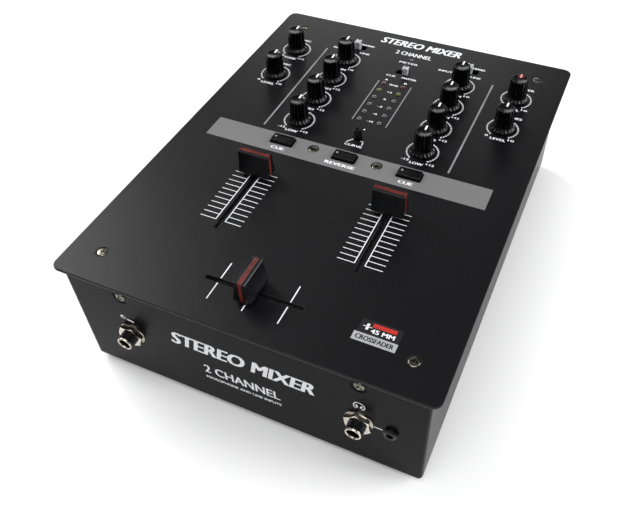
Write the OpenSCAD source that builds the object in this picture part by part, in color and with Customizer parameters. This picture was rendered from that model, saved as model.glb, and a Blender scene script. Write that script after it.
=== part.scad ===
// Two-channel dj mixer: a steel case with a flat overhanging top panel, twelve
// rotary controls, a crossfader curve control, three slide faders, three push
// buttons, three slide switches, a level meter and sockets at front and back.
// Millimetres. +X is to the right and +Y is away from the player. The origin is
// on the table, under the middle of the panel.

/* [Panel] */
// Width of the top panel
panel_w = 200; // [190:1:220]
// Depth of the top panel
panel_d = 266; // [266:1:280]
// Thickness of the top panel
panel_t = 1.5; // [1.2:0.1:2]
// Corner radius of the top panel
panel_r = 5; // [3:0.5:8]

/* [Case] */
// How far the panel overhangs the case at each side
side_lip = 4.2; // [3:0.1:5]
// How far the panel overhangs the case at the front
front_lip = 2.9; // [2:0.1:4]
// How far the panel overhangs the case at the back
rear_lip = 5.1; // [4:0.1:6]
// Height of the case without its feet and panel
case_h = 71.8; // [68:0.1:80]
// Thickness of the case's sheet steel
sheet = 1.2; // [1:0.1:1.5]
// Bend radius at the case's upright corners
case_r = 2.5; // [2:0.1:4]
// Height of the rubber feet
foot_h = 3.5; // [2.5:0.1:5]
// Radius of the rubber feet
foot_r = 7; // [5:0.5:9]

/* [Rotary controls] */
// Distance of the tone control columns from the middle
tone_x = 38.7; // [37:0.1:41]
// Distance of the outer control columns from the middle
outer_x = 74.6; // [72:0.1:78]
// Place of the lowest tone control
tone_y = 19.6; // [19:0.1:22]
// Distance between tone controls
tone_pitch = 23.3; // [20:0.1:24]
// Place of the lower outer controls
level_y = 57.7; // [55:0.1:60]
// Place of the upper outer controls
top_y = 88.9; // [86:0.1:91]
// Height of a knob above the panel
knob_h = 14.7; // [13:0.1:16]
// Radius of a knob's skirt
skirt_r = 7; // [6.6:0.1:8]
// Radius of a knob's grip at its foot
grip_r = 5.8; // [5.5:0.1:6.2]
// Radius of a knob's grip at its top
crown_r = 5.2; // [5:0.1:5.6]
// Number of grip flutes on a knob
flutes = 16; // [10:2:18]
// Half of the turn that a control makes
half_turn = 150; // [130:5:160]

/* [Faders] */
// Travel of each fader
travel = 45; // [45:0.1:46]
// Distance of the channel faders from the middle
channel_x = 38.9; // [37:0.1:41]
// Middle of the channel faders' slots
channel_y = -52.2; // [-53:0.1:-51]
// Distance of a channel fader's cap from its top stop
parked = 2.9; // [0:0.1:5]
// Place of the crossfader's slot
cross_y = -108; // [-109:0.1:-106]
// Place of the crossfader's cap along its slot
cross_rest = -1.1; // [-5:0.1:5]
// Length of a fader cap across its travel
cap_l = 17.6; // [16:0.1:20]
// Width of a fader cap's foot along its travel
cap_foot = 9.3; // [7:0.1:10]
// Width of a fader cap's crest along its travel
cap_crest = 6; // [4:0.1:6.5]
// Height of a fader cap's crest above the panel
cap_top = 15; // [13:0.1:16]
// Width of the slots that the fader stems run in
slot_w = 2; // [1.8:0.1:2.4]

/* [Buttons and switches] */
// Place of the row of push buttons
button_y = -1.8; // [-2.5:0.1:0]
// Width of a push button
button_w = 13.1; // [12:0.1:15]
// Depth of a push button
button_d = 6.7; // [6:0.1:8.5]
// Height of a push button above the panel
button_rise = 1.9; // [1.6:0.1:3]
// Travel of a push button
press = 1.5; // [1:0.1:1.7]
// Distance of the two strip screws from the middle
strip_x = 19.4; // [18:0.1:21]
// Travel of a slide switch's lever
throw = 3.6; // [3:0.1:3.8]
// Height of a slide switch's lever above the panel
lever_h = 4.2; // [3:0.1:6]
// Place of the channel switches
selector_y = 108; // [107:0.1:109]
// Place of the meter switch
meter_switch_y = 90; // [89:0.1:91]

/* [Level meter] */
// Distance of the lamp columns from the middle
lamp_x = 6.4; // [5:0.1:8]
// Place of the lowest lamps
lamp_y = 34.4; // [33:0.1:37]
// Distance between lamps
lamp_pitch = 8; // [7:0.1:8.2]
// Lamps in each column
lamp_rows = 6; // [4:1:6]

/* [Sockets] */
// Distance of the large front sockets from the middle
socket_x = 63; // [60:0.1:66]
// Depth of the front sockets below the panel's face
socket_drop = 38.3; // [36:0.1:42]
// Bore of the large front sockets
socket_bore = 6.4; // [6.35:0.05:6.5]
// How far a large front socket stands out of the case
socket_reach = 7.8; // [6:0.1:8]
// Place of the small front socket
mini_x = 78.8; // [78:0.1:80]
// Bore of the small front socket
mini_bore = 3.6; // [3.5:0.05:3.7]
// Number of upright pairs of phono sockets at the back
phono_pairs = 5; // [3:1:5]
// Distance between the pairs of phono sockets
phono_pitch = 17; // [15:0.5:18]

/* [Hidden] */
$fn = 64;

black = [0.10, 0.10, 0.11];
graphite = [0.16, 0.16, 0.17];
silver = [0.75, 0.75, 0.76];
board_green = [0.10, 0.32, 0.18];
skin = 0.05;      // running clearance on a radius
gap = 0.3;        // clearance between faces that slide past each other
overrun = 1;      // how far a cutter runs past the face it cuts

// Levels
case_z = foot_h;
case_top = case_z + case_h;
face_z = case_top + panel_t;
front_y = -panel_d / 2 + front_lip;
rear_y = panel_d / 2 - rear_lip;
case_w = panel_w - 2 * side_lip;
half_depth = -front_y + socket_reach;
phono_reach = half_depth - rear_y;
socket_z = face_z - socket_drop;

// Fasteners: M3, countersunk apart from the two at the front
head_r = 2.85;
head_t = 1.7;
pan_t = 1.3;
thread_r = 1.4;
hole_r = 1.5;
screw_l = 7;
corner_screw = [[-81.9, -114.6], [81.9, -114.6], [-81.9, 114.8], [81.9, 114.8]];
tab_l = 19;
tab_w = 15;
lug_w = 16;
lug_h = 14;
lug_z = face_z - 9.4;
lug_x = 62.8;
dimple_r = 4.7;
dimple_t = 0.5;
rear_flange = 12;
rear_screw_z = [case_z + 9, case_top - 9];
rear_screw_x = case_w / 2 - sheet - 6;
foot_x = case_w / 2 - 16;
foot_y = 112;

// Boards
board_t = 1.6;
board_z = case_top - 10.6;
board_top = board_z + board_t;
board_w = 178;
board_front = -9;
board_back = 118;
main_w = 150;
main_front = 18;
main_back = 108;
main_z = case_z + sheet + 6;

// Potentiometers
pot_h = 6.8;
pot_w = 9.8;
pot_d = 11;
neck_r = 3.5;
neck_hole_r = 3.7;
shaft_r = 3;
shaft_foot = board_top + 1.2;
shaft_h = 12;
flat_x = 1.5;
curve_y = 17.4;
curve_r = 2.35;
curve_h = 6.2;

// Faders
frame_l = travel + 27;
frame_w = 12.4;
frame_h = 10.8;
frame_t = 0.8;
frame_top = case_top - 0.2;
rail_r = 1;
rail_x = 3;
rail_z = frame_top - 5.6;
block_l = 9;
block_w = 8.6;
block_h = 5;
blade_l = 4;
blade_t = 1.2;
slot_l = travel + 6.6;
cap_lift = 1.8;
cap_waist = 0.35;
stripe_w = 0.9;
stripe_d = 0.35;

// Buttons, switches and lamps
button_x = 38.8;
button_foot = board_top + 6.5;
window_gap = 0.3;
button_post_r = 1.5;
switch_body_h = 4.6;
selector_x = [-36.1, 41.3];
meter_switch_x = 0.6;
selector_slot = [8.2, 5.4];
selector_d = 4.8;
meter_slot = [8.2, 3.8];
meter_lever_d = 3.2;
lever_w = 4.2;
slide_body = [13, 7.6, 6.2];
slide_well = [8.8, 5.6];
lamp_r = 1.5;
lamp_rise = 0.5;

// Sockets
thread_r_large = 4.5;
nut_t = 2.4;
nut_across_corners = 14.6;
washer_t = 0.6;
washer_r = 7.2;
socket_body = [14.6, 24, 14.6];
socket_depth = 27;
mini_thread_r = 2.8;
mini_ring_r = 3.4;
mini_reach = 2.2;
mini_body = [8.4, 12, 8.4];
mini_depth = 13;
phono_r = 4.15;
phono_body = [11, 11.4, 10];
phono_z = [26, 44];
phono_x0 = -58;
inlet_x = 42;
inlet_z = 34;
rocker_x = 68;
rocker_z = 34;
rocker_tilt = 9;

// ---- Shared shapes ----

module rounded_rect(w, d, r) {
    square([w - 2 * r, d], center = true);
    square([w, d - 2 * r], center = true);
    for (sx = [-1, 1], sy = [-1, 1])
        translate([sx * (w / 2 - r), sy * (d / 2 - r)])
            circle(r = r);
}

// A bore or pin from height z0 up to z1
module upright(r, z0, z1) {
    translate([0, 0, z0])
        cylinder(h = z1 - z0, r = r);
}

// A round bar along +Y from y0 to y1
module along_y(r, y0, y1, sides = 64) {
    translate([0, y1, 0])
        rotate([90, 0, 0])
            cylinder(h = y1 - y0, r = r, $fn = sides);
}

// A block centred in x and y, standing on height z
module block(size, z = 0) {
    translate([-size.x / 2, -size.y / 2, z])
        cube(size);
}

// A countersunk screw pointing down, its head's face at z = 0
module screw() {
    color(silver)
        difference() {
            union() {
                translate([0, 0, -head_t])
                    cylinder(h = head_t, r1 = thread_r, r2 = head_r);
                upright(thread_r, -screw_l, -head_t + 0.2);
            }
            for (a = [0, 90])
                rotate(a)
                    block([3, 0.6, overrun + 0.9], -0.9);
        }
}

// A pan head screw pointing down, its head standing on z = 0
module pan_screw() {
    color(silver)
        difference() {
            union() {
                upright(thread_r, -screw_l, 0.2);
                cylinder(h = pan_t / 2, r = head_r);
                translate([0, 0, pan_t / 2])
                    cylinder(h = pan_t / 2, r1 = head_r, r2 = head_r - 0.8);
            }
            for (a = [0, 90])
                rotate(a)
                    block([3, 0.6, overrun + 0.9], pan_t - 0.9);
        }
}

// The hole that takes a countersunk screw, its rim at z = 0
module screw_hole(depth) {
    upright(hole_r + 0.1, -depth, overrun);
    translate([0, 0, -head_t])
        cylinder(h = head_t + 0.02, r1 = hole_r + 0.1, r2 = head_r + 0.1);
}

// ---- Case ----

module case_outline(inset) {
    translate([0, (front_y + rear_y) / 2])
        rounded_rect(case_w - 2 * inset, rear_y - front_y - 2 * inset, case_r - inset);
}

module lower_chassis() {
    color(black)
        difference() {
            union() {
                difference() {
                    translate([0, 0, case_z])
                        linear_extrude(case_h)
                            case_outline(0);
                    translate([0, 0, case_z + sheet])
                        linear_extrude(case_h)
                            case_outline(sheet);
                    translate([-case_w / 2 + sheet, rear_y - 10, case_z + sheet])
                        cube([case_w - 2 * sheet, 10 + overrun, case_h]);
                    translate([-case_w / 2 - overrun, rear_y - case_r, case_z - overrun])
                        cube([case_w + 2 * overrun, case_r + overrun, case_h + 2 * overrun]);
                }
                rear_returns();
                panel_tabs();
                board_bosses();
            }
            chassis_holes();
        }
}

// Side walls' last stretch and the flanges that the rear panel lies on
module rear_returns() {
    flange_y = rear_y - 2 * sheet - 0.1;
    for (side = [-1, 1]) {
        translate([side * (case_w / 2 - sheet / 2), rear_y - case_r / 2 - 0.5, 0])
            block([sheet, case_r + 1, case_h], case_z);
        translate([side * (case_w / 2 - sheet - rear_flange / 2 + 0.1), flange_y + sheet / 2, 0])
            block([rear_flange + 0.2, sheet, case_h - sheet], case_z + sheet / 2);
    }
    translate([0, rear_y - case_r / 2 - 0.5, 0])
        block([case_w, case_r + 1, sheet], case_z);
}

// Tabs under the panel's four corners
module panel_tabs() {
    for (at = corner_screw)
        translate([sign(at.x) * (case_w / 2 - sheet / 2 - tab_l / 2), at.y, 0])
            block([tab_l, tab_w, sheet], case_top - sheet);
}

module board_bosses() {
    for (x = [-main_w / 2 + 5, main_w / 2 - 5], y = [main_front + 5, main_back - 5])
        translate([x, y, 0])
            upright(3.2, case_z + sheet / 2, main_z);
}

module chassis_holes() {
    for (at = corner_screw)
        translate([at.x, at.y, 0])
            upright(hole_r + 0.2, case_top - 3, case_top + overrun);
    for (side = [-1, 1]) {
        translate([side * socket_x, 0, socket_z])
            along_y(thread_r_large + 0.15, front_y - overrun, front_y + 2 * sheet);
        translate([side * lug_x, 0, lug_z]) {
            along_y(hole_r + 0.1, front_y - overrun, front_y + 2 * sheet);
            along_y(dimple_r, front_y - overrun, front_y + dimple_t);
        }
        for (z = rear_screw_z)
            translate([side * rear_screw_x, 0, z])
                along_y(hole_r + 0.5, rear_y - 4 * sheet, rear_y);
        for (y = [-foot_y, foot_y])
            translate([side * foot_x, y, 0])
                upright(hole_r, case_z - overrun, case_z + 2 * sheet);
    }
    translate([mini_x, 0, socket_z])
        along_y(mini_thread_r + 0.1, front_y - overrun, front_y + 2 * sheet);
    for (x = [-main_w / 2 + 5, main_w / 2 - 5], y = [main_front + 5, main_back - 5])
        translate([x, y, 0])
            upright(1.2, case_z + 2 * sheet, main_z + overrun);
}

module rear_panel() {
    panel_y = rear_y - sheet;
    color(black)
        difference() {
            translate([0, panel_y + sheet / 2, 0])
                block([case_w - 2 * sheet - 0.4, sheet, case_h - sheet - 0.4], case_z + sheet + 0.2);
            for (pair = [0 : phono_pairs - 1], z = phono_z)
                translate([phono_x0 + pair * phono_pitch, 0, z])
                    along_y(phono_r + 0.2, panel_y - overrun, rear_y + overrun);
            translate([inlet_x, panel_y + sheet / 2, inlet_z])
                block([9.4, 3 * sheet, 11.4], -5.7);
            translate([rocker_x, panel_y + sheet / 2, rocker_z])
                block([13.4, 3 * sheet, 19.4], -9.7);
            translate([phono_x0 - 14, 0, phono_z[0]])
                along_y(2.2, panel_y - overrun, rear_y + overrun);
            for (side = [-1, 1], z = rear_screw_z)
                translate([side * rear_screw_x, rear_y, z])
                    rotate([-90, 0, 0])
                        screw_hole(2 * sheet);
        }
}

module rubber_feet() {
    color(graphite)
        for (x = [-foot_x, foot_x], y = [-foot_y, foot_y])
            translate([x, y, 0])
                difference() {
                    union() {
                        cylinder(h = foot_h - 1, r1 = foot_r - 0.8, r2 = foot_r);
                        upright(foot_r, foot_h - 1, foot_h);
                    }
                    upright(hole_r, -overrun, foot_h + overrun);
                    upright(head_r + 0.2, -overrun, 1);
                    translate([0, 0, 1 - 0.01])
                        cylinder(h = head_t, r1 = head_r + 0.1, r2 = hole_r);
                }
}

module panel_screws() {
    for (at = concat(corner_screw, [[-strip_x, button_y], [strip_x, button_y]]))
        translate([at.x, at.y, face_z])
            screw();
}

module case_screws() {
    for (side = [-1, 1]) {
        translate([side * lug_x, front_y + dimple_t, lug_z])
            rotate([90, 0, 0])
                pan_screw();
        for (z = rear_screw_z)
            translate([side * rear_screw_x, rear_y, z])
                rotate([-90, 0, 0])
                    screw();
        for (y = [-foot_y, foot_y])
            translate([side * foot_x, y, 0.95])
                rotate([180, 0, 0])
                    screw();
    }
}

// ---- Top panel ----

function tone_row(i) = tone_y + i * tone_pitch;
pots = concat(
    [for (side = [-1, 1], i = [0 : 3]) [side * tone_x, tone_row(i)]],
    [for (side = [-1, 1], y = [level_y, top_y]) [side * outer_x, y]]);
selectors = [[selector_x[0], selector_y], [selector_x[1], selector_y]];
meter_switch = [meter_switch_x, meter_switch_y];

module panel_lugs() {
    for (side = [-1, 1])
        translate([side * lug_x, front_y + sheet + 0.1 + panel_t / 2, 0])
            block([lug_w, panel_t, lug_h + 0.2], case_top - lug_h);
}

module top_panel() {
    color(black)
        difference() {
            union() {
                translate([0, 0, case_top])
                    linear_extrude(panel_t)
                        rounded_rect(panel_w, panel_d, panel_r);
                panel_lugs();
            }
            for (at = concat(corner_screw, [[-strip_x, button_y], [strip_x, button_y]]))
                translate([at.x, at.y, face_z])
                    screw_hole(2 * panel_t);
            for (at = pots)
                translate([at.x, at.y, 0])
                    upright(neck_hole_r, case_top - overrun, face_z + overrun);
            translate([0, curve_y, 0])
                upright(curve_r + 0.35, case_top - overrun, face_z + overrun);
            for (at = selectors)
                translate([at.x, at.y, 0])
                    block([selector_slot.x, selector_slot.y, panel_t + 2 * overrun], case_top - overrun);
            translate([meter_switch.x, meter_switch.y, 0])
                block([meter_slot.x, meter_slot.y, panel_t + 2 * overrun], case_top - overrun);
            for (x = [-button_x, 0, button_x])
                translate([x, button_y, 0])
                    block([button_w + 2 * window_gap, button_d + 2 * window_gap, panel_t + 2 * overrun],
                          case_top - overrun);
            for (side = [-1, 1], row = [0 : lamp_rows - 1])
                translate([side * lamp_x, lamp_y + row * lamp_pitch, 0])
                    upright(lamp_r + 0.1, case_top - overrun, face_z + overrun);
            for (x = [-channel_x, channel_x])
                translate([x, channel_y, 0])
                    block([slot_w, slot_l, panel_t + 2 * overrun], case_top - overrun);
            translate([0, cross_y, 0])
                block([slot_l, slot_w, panel_t + 2 * overrun], case_top - overrun);
            for (side = [-1, 1])
                translate([side * lug_x, 0, lug_z])
                    along_y(hole_r, front_y, front_y + 6);
        }
}

// ---- Rotary controls ----

module control_board() {
    color(board_green)
        difference() {
            translate([0, (board_front + board_back) / 2, 0])
                block([board_w, board_back - board_front, board_t], board_z);
            for (side = [-1, 1])
                translate([side * strip_x, button_y, 0])
                    upright(hole_r + 0.3, board_z - overrun, board_top + overrun);
        }
}

module pot_body(bore_r, neck_top) {
    color(graphite)
        difference() {
            union() {
                translate([0, -0.6, 0])
                    block([pot_w, pot_d, pot_h], board_top);
                upright(neck_r, board_top + pot_h - 0.2, neck_top);
            }
            upright(bore_r, shaft_foot - 0.4, face_z + overrun);
        }
}

module pot_bodies() {
    for (at = pots)
        translate([at.x, at.y, 0])
            pot_body(shaft_r + skin, face_z - 0.4);
    translate([0, curve_y, 0])
        pot_body(curve_r + skin, case_top - 0.4);
}

// The D-shaped shaft of a control; grow thickens it to make the bore that fits it
module d_shaft(grow) {
    difference() {
        upright(shaft_r + grow, shaft_foot, face_z + shaft_h + grow);
        translate([flat_x + grow, -5, face_z + 2.5 + grow])
            cube([5, 10, shaft_h + 5]);
    }
}

module control_shaft(x, y) {
    color(silver)
        translate([x, y, 0])
            d_shaft(0);
}

module knob(x, y) {
    lift = 0.6;
    skirt_t = 2;
    dish_r = crown_r - 0.9;
    flute_r = 0.75;
    color(black)
        translate([x, y, face_z])
            difference() {
                rotate_extrude()
                    polygon([
                        [0, lift], [skirt_r, lift], [skirt_r, lift + skirt_t - 0.5],
                        [skirt_r - 0.5, lift + skirt_t], [grip_r, lift + skirt_t + 0.3],
                        [crown_r, knob_h - 0.5], [crown_r - 0.5, knob_h],
                        [dish_r, knob_h], [dish_r, knob_h - 0.3], [0, knob_h - 0.3],
                    ]);
                for (i = [0 : flutes - 1])
                    rotate((i + 0.5) * 360 / flutes)
                        translate([grip_r + 0.1, 0, 0])
                            upright(flute_r, lift + skirt_t + 0.8, knob_h + overrun);
                translate([-0.45, crown_r * 0.3, knob_h - 0.5])
                    cube([0.9, crown_r, 2]);
                translate([0, 0, -face_z])
                    d_shaft(skin);
            }
}

module curve_knob() {
    slot_t = 0.7;
    color(black)
        translate([0, curve_y, 0])
            difference() {
                union() {
                    upright(curve_r, shaft_foot, face_z + curve_h - 0.4);
                    translate([0, 0, face_z + curve_h - 0.4])
                        cylinder(h = 0.4, r1 = curve_r, r2 = curve_r - 0.4);
                }
                block([slot_t, 4 * curve_r, 3], face_z + curve_h - 1);
            }
}

// ---- Faders ----
// A fader is drawn with its travel along +Y and its slot's middle at the origin.

module place_faders() {
    translate([-channel_x, channel_y, 0])
        children();
    translate([channel_x, channel_y, 0])
        children();
    translate([0, cross_y, 0])
        rotate(-90)
            children();
}

module fader_frames() {
    color(silver)
        place_faders()
            difference() {
                block([frame_w, frame_l, frame_h], frame_top - frame_h);
                block([frame_w - 2 * frame_t, frame_l - 4 * frame_t, frame_h - 2 * frame_t],
                      frame_top - frame_h + frame_t);
                block([3, slot_l + 2, 3], frame_top - 2);
                for (side = [-1, 1])
                    translate([side * rail_x, 0, rail_z])
                        along_y(rail_r + 0.02, -frame_l / 2 - overrun, frame_l / 2 + overrun);
            }
}

module fader_rails() {
    color(silver)
        place_faders()
            for (side = [-1, 1])
                translate([side * rail_x, 0, rail_z])
                    along_y(rail_r, -frame_l / 2, frame_l / 2);
}

module carriage() {
    color(graphite)
        difference() {
            block([block_w, block_l, block_h], rail_z - block_h / 2);
            for (side = [-1, 1])
                translate([side * rail_x, 0, rail_z])
                    along_y(rail_r + skin, -block_l, block_l);
        }
    color(silver)
        block([blade_t, blade_l, face_z + cap_top - 5 - rail_z], rail_z);
}

module fader_cap() {
    foot = cap_foot / 2;
    crest = cap_crest / 2;
    edge = 0.5;
    middle_z = (cap_lift + cap_top) / 2;
    color(black)
        translate([0, 0, face_z])
            difference() {
                rotate([90, 0, 90])
                    linear_extrude(cap_l, center = true)
                        polygon([
                            [-foot, cap_lift], [foot, cap_lift], [foot, cap_lift + 0.8],
                            [(foot + crest) / 2 - cap_waist, middle_z],
                            [crest, cap_top - edge], [crest - edge, cap_top],
                            [-crest + edge, cap_top], [-crest, cap_top - edge],
                            [-(foot + crest) / 2 + cap_waist, middle_z], [-foot, cap_lift + 0.8],
                        ]);
                block([cap_l + 2, stripe_w, 3], cap_top - stripe_d);
                block([blade_t + 0.1, blade_l + 0.1, cap_top - 5 + 0.1]);
            }
}

// ---- Buttons, switches and lamps ----

module push_button(x) {
    color(black)
        translate([x, button_y, 0])
            union() {
                block([button_w, button_d, face_z + button_rise - button_foot], button_foot);
                upright(button_post_r, board_top + 3, button_foot + 0.2);
            }
}

module button_switches() {
    color(graphite)
        for (x = [-button_x, 0, button_x])
            translate([x, button_y, 0])
                difference() {
                    block([13, 6.6, switch_body_h], board_top);
                    upright(button_post_r + 0.1, board_top + 1, board_top + switch_body_h + overrun);
                }
}

module slide_switch_bodies() {
    color(silver)
        for (at = concat(selectors, [meter_switch]))
            translate([at.x, at.y, 0])
                difference() {
                    block(slide_body, board_top);
                    block([slide_well.x, slide_well.y, slide_body.z], board_top + 1.6);
                }
}

// at is the middle of the lever's slot, depth is the lever's size along Y, and side is the end
// where it is parked
module switch_lever(at, depth, side) {
    shoe = [4.6, 3.8, 2.4];
    color(silver)
        translate([at.x + side * throw / 2, at.y, 0])
            difference() {
                union() {
                    block(shoe, board_top + 1.9);
                    block([lever_w, depth, face_z + lever_h - board_top - 2.5], board_top + 2.5);
                }
                translate([0, -depth / 2, 0])
                    block([1.2, 0.8, lever_h], face_z + 1);
            }
}

module meter_lamps() {
    leg = 0.5;
    lens_foot = board_top + 3.6;
    color([0.8, 0.8, 0.78])
        for (side = [-1, 1], row = [0 : lamp_rows - 1])
            translate([side * lamp_x, lamp_y + row * lamp_pitch, 0]) {
                upright(lamp_r, lens_foot, face_z);
                upright(lamp_r + 0.3, lens_foot, lens_foot + 1);
                translate([0, 0, face_z])
                    cylinder(h = lamp_rise, r1 = lamp_r, r2 = lamp_r - 0.5);
                for (x = [-0.6, 0.6])
                    translate([x, 0, 0])
                        block([leg, leg, lens_foot - board_top + 0.2], board_top);
            }
}

// ---- Sockets ----

module front_sockets() {
    panel_in = front_y + sheet;
    for (side = [-1, 1])
        translate([side * socket_x, 0, socket_z])
            difference() {
                union() {
                    color(black)
                        along_y(thread_r_large, front_y - socket_reach + 0.6, panel_in + 1);
                    color(silver)
                        along_y(thread_r_large - 0.4, front_y - socket_reach, front_y - socket_reach + 1);
                    color(black)
                        translate([0, panel_in + socket_body.y / 2 + 0.05, -socket_body.z / 2])
                            block(socket_body);
                }
                along_y(socket_bore / 2, front_y - socket_reach - overrun,
                        front_y - socket_reach + socket_depth);
            }
}

module socket_washers() {
    color(silver)
        for (side = [-1, 1])
            translate([side * socket_x, 0, socket_z])
                difference() {
                    along_y(washer_r, front_y - washer_t, front_y);
                    along_y(thread_r_large + 0.1, front_y - washer_t - overrun, front_y + overrun);
                }
}

module socket_nuts() {
    nut_y = front_y - washer_t;
    color(silver)
        for (side = [-1, 1])
            translate([side * socket_x, 0, socket_z])
                difference() {
                    along_y(nut_across_corners / 2, nut_y - nut_t, nut_y, 6);
                    along_y(thread_r_large + 0.1, nut_y - nut_t - overrun, nut_y + overrun);
                }
}

module mini_socket() {
    panel_in = front_y + sheet;
    color(black)
        translate([mini_x, 0, socket_z])
            difference() {
                union() {
                    along_y(mini_ring_r, front_y - mini_reach + 0.4, front_y - 0.02);
                    along_y(mini_thread_r, front_y - mini_reach, panel_in + 1);
                    translate([0, panel_in + mini_body.y / 2 + 0.05, -mini_body.z / 2])
                        block(mini_body);
                }
                along_y(mini_bore / 2, front_y - mini_reach - overrun, front_y - mini_reach + mini_depth);
            }
}

module phono_sockets() {
    for (pair = [0 : phono_pairs - 1], z = phono_z)
        translate([phono_x0 + pair * phono_pitch, rear_y, z])
            difference() {
                union() {
                    color(silver)
                        along_y(phono_r, -4, phono_reach);
                    color(black)
                        along_y(phono_r + 1.2, 0.02, 1.2);
                    color(black)
                        translate([0, -sheet - 0.05 - phono_body.y / 2, -phono_body.z / 2])
                            block(phono_body);
                }
                along_y(1.65, phono_reach - 7, phono_reach + overrun);
            }
}

module ground_post() {
    color(silver)
        translate([phono_x0 - 14, rear_y, phono_z[0]])
            difference() {
                union() {
                    along_y(2, -6, 8);
                    along_y(4.2, 0.02, 1.4);
                    along_y(4.8, 2.4, 6.4);
                    along_y(3.4, -sheet - 2.4, -sheet - 0.02, 6);
                }
                for (a = [0 : 30 : 330])
                    rotate([0, a, 0])
                        translate([4.9, 0, 0])
                            along_y(0.5, 2, 7);
            }
}

module power_inlet() {
    color(black)
        translate([inlet_x, rear_y, inlet_z])
            difference() {
                union() {
                    translate([0, -6.4, -5.5])
                        block([9, 14, 11]);
                    translate([0, 0.52, -6.5])
                        block([11, 1, 13]);
                }
                difference() {
                    along_y(2.9, -9, 2);
                    along_y(1, -10, 0);
                }
            }
}

module rocker_frame() {
    color(black)
        translate([rocker_x, rear_y, rocker_z])
            difference() {
                union() {
                    translate([0, 0.77, -10.5])
                        block([15, 1.5, 21]);
                    translate([0, -6.9, -9.5])
                        block([13, 14, 19]);
                }
                translate([0, -3, -8.2])
                    block([9.6, 18, 16.4]);
                rotate([0, 90, 0])
                    translate([0, -2.5, 0])
                        cylinder(h = 11.4, r = 1.1 + skin, center = true);
            }
}

module power_rocker() {
    reach = 7;
    color(black)
        translate([rocker_x, rear_y - 2.5, rocker_z])
            rotate([rocker_tilt, 0, 0]) {
                difference() {
                    rotate([90, 0, 90])
                        linear_extrude(9, center = true)
                            polygon([
                                [-4, -4.5], [1, -reach], [5.4, -reach], [4, 0],
                                [5.4, reach], [1, reach], [-4, 4.5],
                            ]);
                    translate([0, 7.2, 4.4])
                        rotate([0, 90, 0])
                            cylinder(h = 3, r = 2.4, center = true);
                }
                rotate([0, 90, 0])
                    cylinder(h = 11, r = 1.1, center = true);
            }
}

// ---- Main board ----

module main_board() {
    middle_y = (main_front + main_back) / 2;
    color(board_green)
        difference() {
            translate([0, middle_y, 0])
                block([main_w, main_back - main_front, board_t], main_z + 0.02);
            for (x = [-main_w / 2 + 5, main_w / 2 - 5], y = [main_front + 5, main_back - 5])
                translate([x, y, 0])
                    upright(hole_r, main_z - overrun, main_z + board_t + overrun);
        }
    top = main_z + board_t + 0.02;
    color(graphite)
        for (i = [0 : 4])
            translate([-44 + 22 * i, middle_y + 14, 0])
                block([9, 12, 2.4], top);
    color(black)
        for (i = [0 : 3])
            translate([-48 + 32 * i, middle_y - 22, 0])
                upright(5, top, top + 13);
}

// ---- Assembly ----

lower_chassis();
rear_panel();
top_panel();
panel_screws();
case_screws();
rubber_feet();
control_board();
pot_bodies();
slide_switch_bodies();
button_switches();
meter_lamps();
fader_frames();
fader_rails();
front_sockets();
socket_nuts();
socket_washers();
mini_socket();
phono_sockets();
ground_post();
power_inlet();
rocker_frame();
power_rocker();
main_board();

knob(-outer_x, top_y);  // mic_tone_knob
control_shaft(-outer_x, top_y);  // mic_tone_shaft
knob(-outer_x, level_y);  // mic_level_knob
control_shaft(-outer_x, level_y);  // mic_level_shaft
knob(-tone_x, tone_row(3));  // left_gain_knob
control_shaft(-tone_x, tone_row(3));  // left_gain_shaft
knob(-tone_x, tone_row(2));  // left_high_knob
control_shaft(-tone_x, tone_row(2));  // left_high_shaft
knob(-tone_x, tone_row(1));  // left_mid_knob
control_shaft(-tone_x, tone_row(1));  // left_mid_shaft
knob(-tone_x, tone_row(0));  // left_low_knob
control_shaft(-tone_x, tone_row(0));  // left_low_shaft
knob(tone_x, tone_row(3));  // right_gain_knob
control_shaft(tone_x, tone_row(3));  // right_gain_shaft
knob(tone_x, tone_row(2));  // right_high_knob
control_shaft(tone_x, tone_row(2));  // right_high_shaft
knob(tone_x, tone_row(1));  // right_mid_knob
control_shaft(tone_x, tone_row(1));  // right_mid_shaft
knob(tone_x, tone_row(0));  // right_low_knob
control_shaft(tone_x, tone_row(0));  // right_low_shaft
knob(outer_x, top_y);  // master_level_knob
control_shaft(outer_x, top_y);  // master_level_shaft
knob(outer_x, level_y);  // phones_level_knob
control_shaft(outer_x, level_y);  // phones_level_shaft
curve_knob();

channel_rest = channel_y + travel / 2 - parked;
translate([-channel_x, channel_rest, 0]) fader_cap();  // left_fader_cap
translate([-channel_x, channel_rest, 0]) carriage();  // left_fader_carriage
translate([channel_x, channel_rest, 0]) fader_cap();  // right_fader_cap
translate([channel_x, channel_rest, 0]) carriage();  // right_fader_carriage
translate([cross_rest, cross_y, 0]) rotate(-90) fader_cap();  // crossfader_cap
translate([cross_rest, cross_y, 0]) rotate(-90) carriage();  // crossfader_carriage

push_button(-button_x);  // left_cue_button
push_button(0);  // reverse_button
push_button(button_x);  // right_cue_button
switch_lever(selectors[0], selector_d, -1);  // left_selector_lever
switch_lever(selectors[1], selector_d, -1);  // right_selector_lever
switch_lever(meter_switch, meter_lever_d, 1);  // meter_switch_lever
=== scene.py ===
"""A two-channel dj mixer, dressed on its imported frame.

Sizes are in millimetres. Forms are built where they belong in the frame: +X to the
right, +Y away from the player, and the table at height 0. Bench turns them into
pieces in metres and sets them on their bodies.
"""

from __future__ import annotations

import logging
import math
from dataclasses import dataclass, field
from enum import Enum
from typing import Any, Iterable, Sequence

import bmesh
import bpy
from mathutils import Euler, Matrix, Vector


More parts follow.
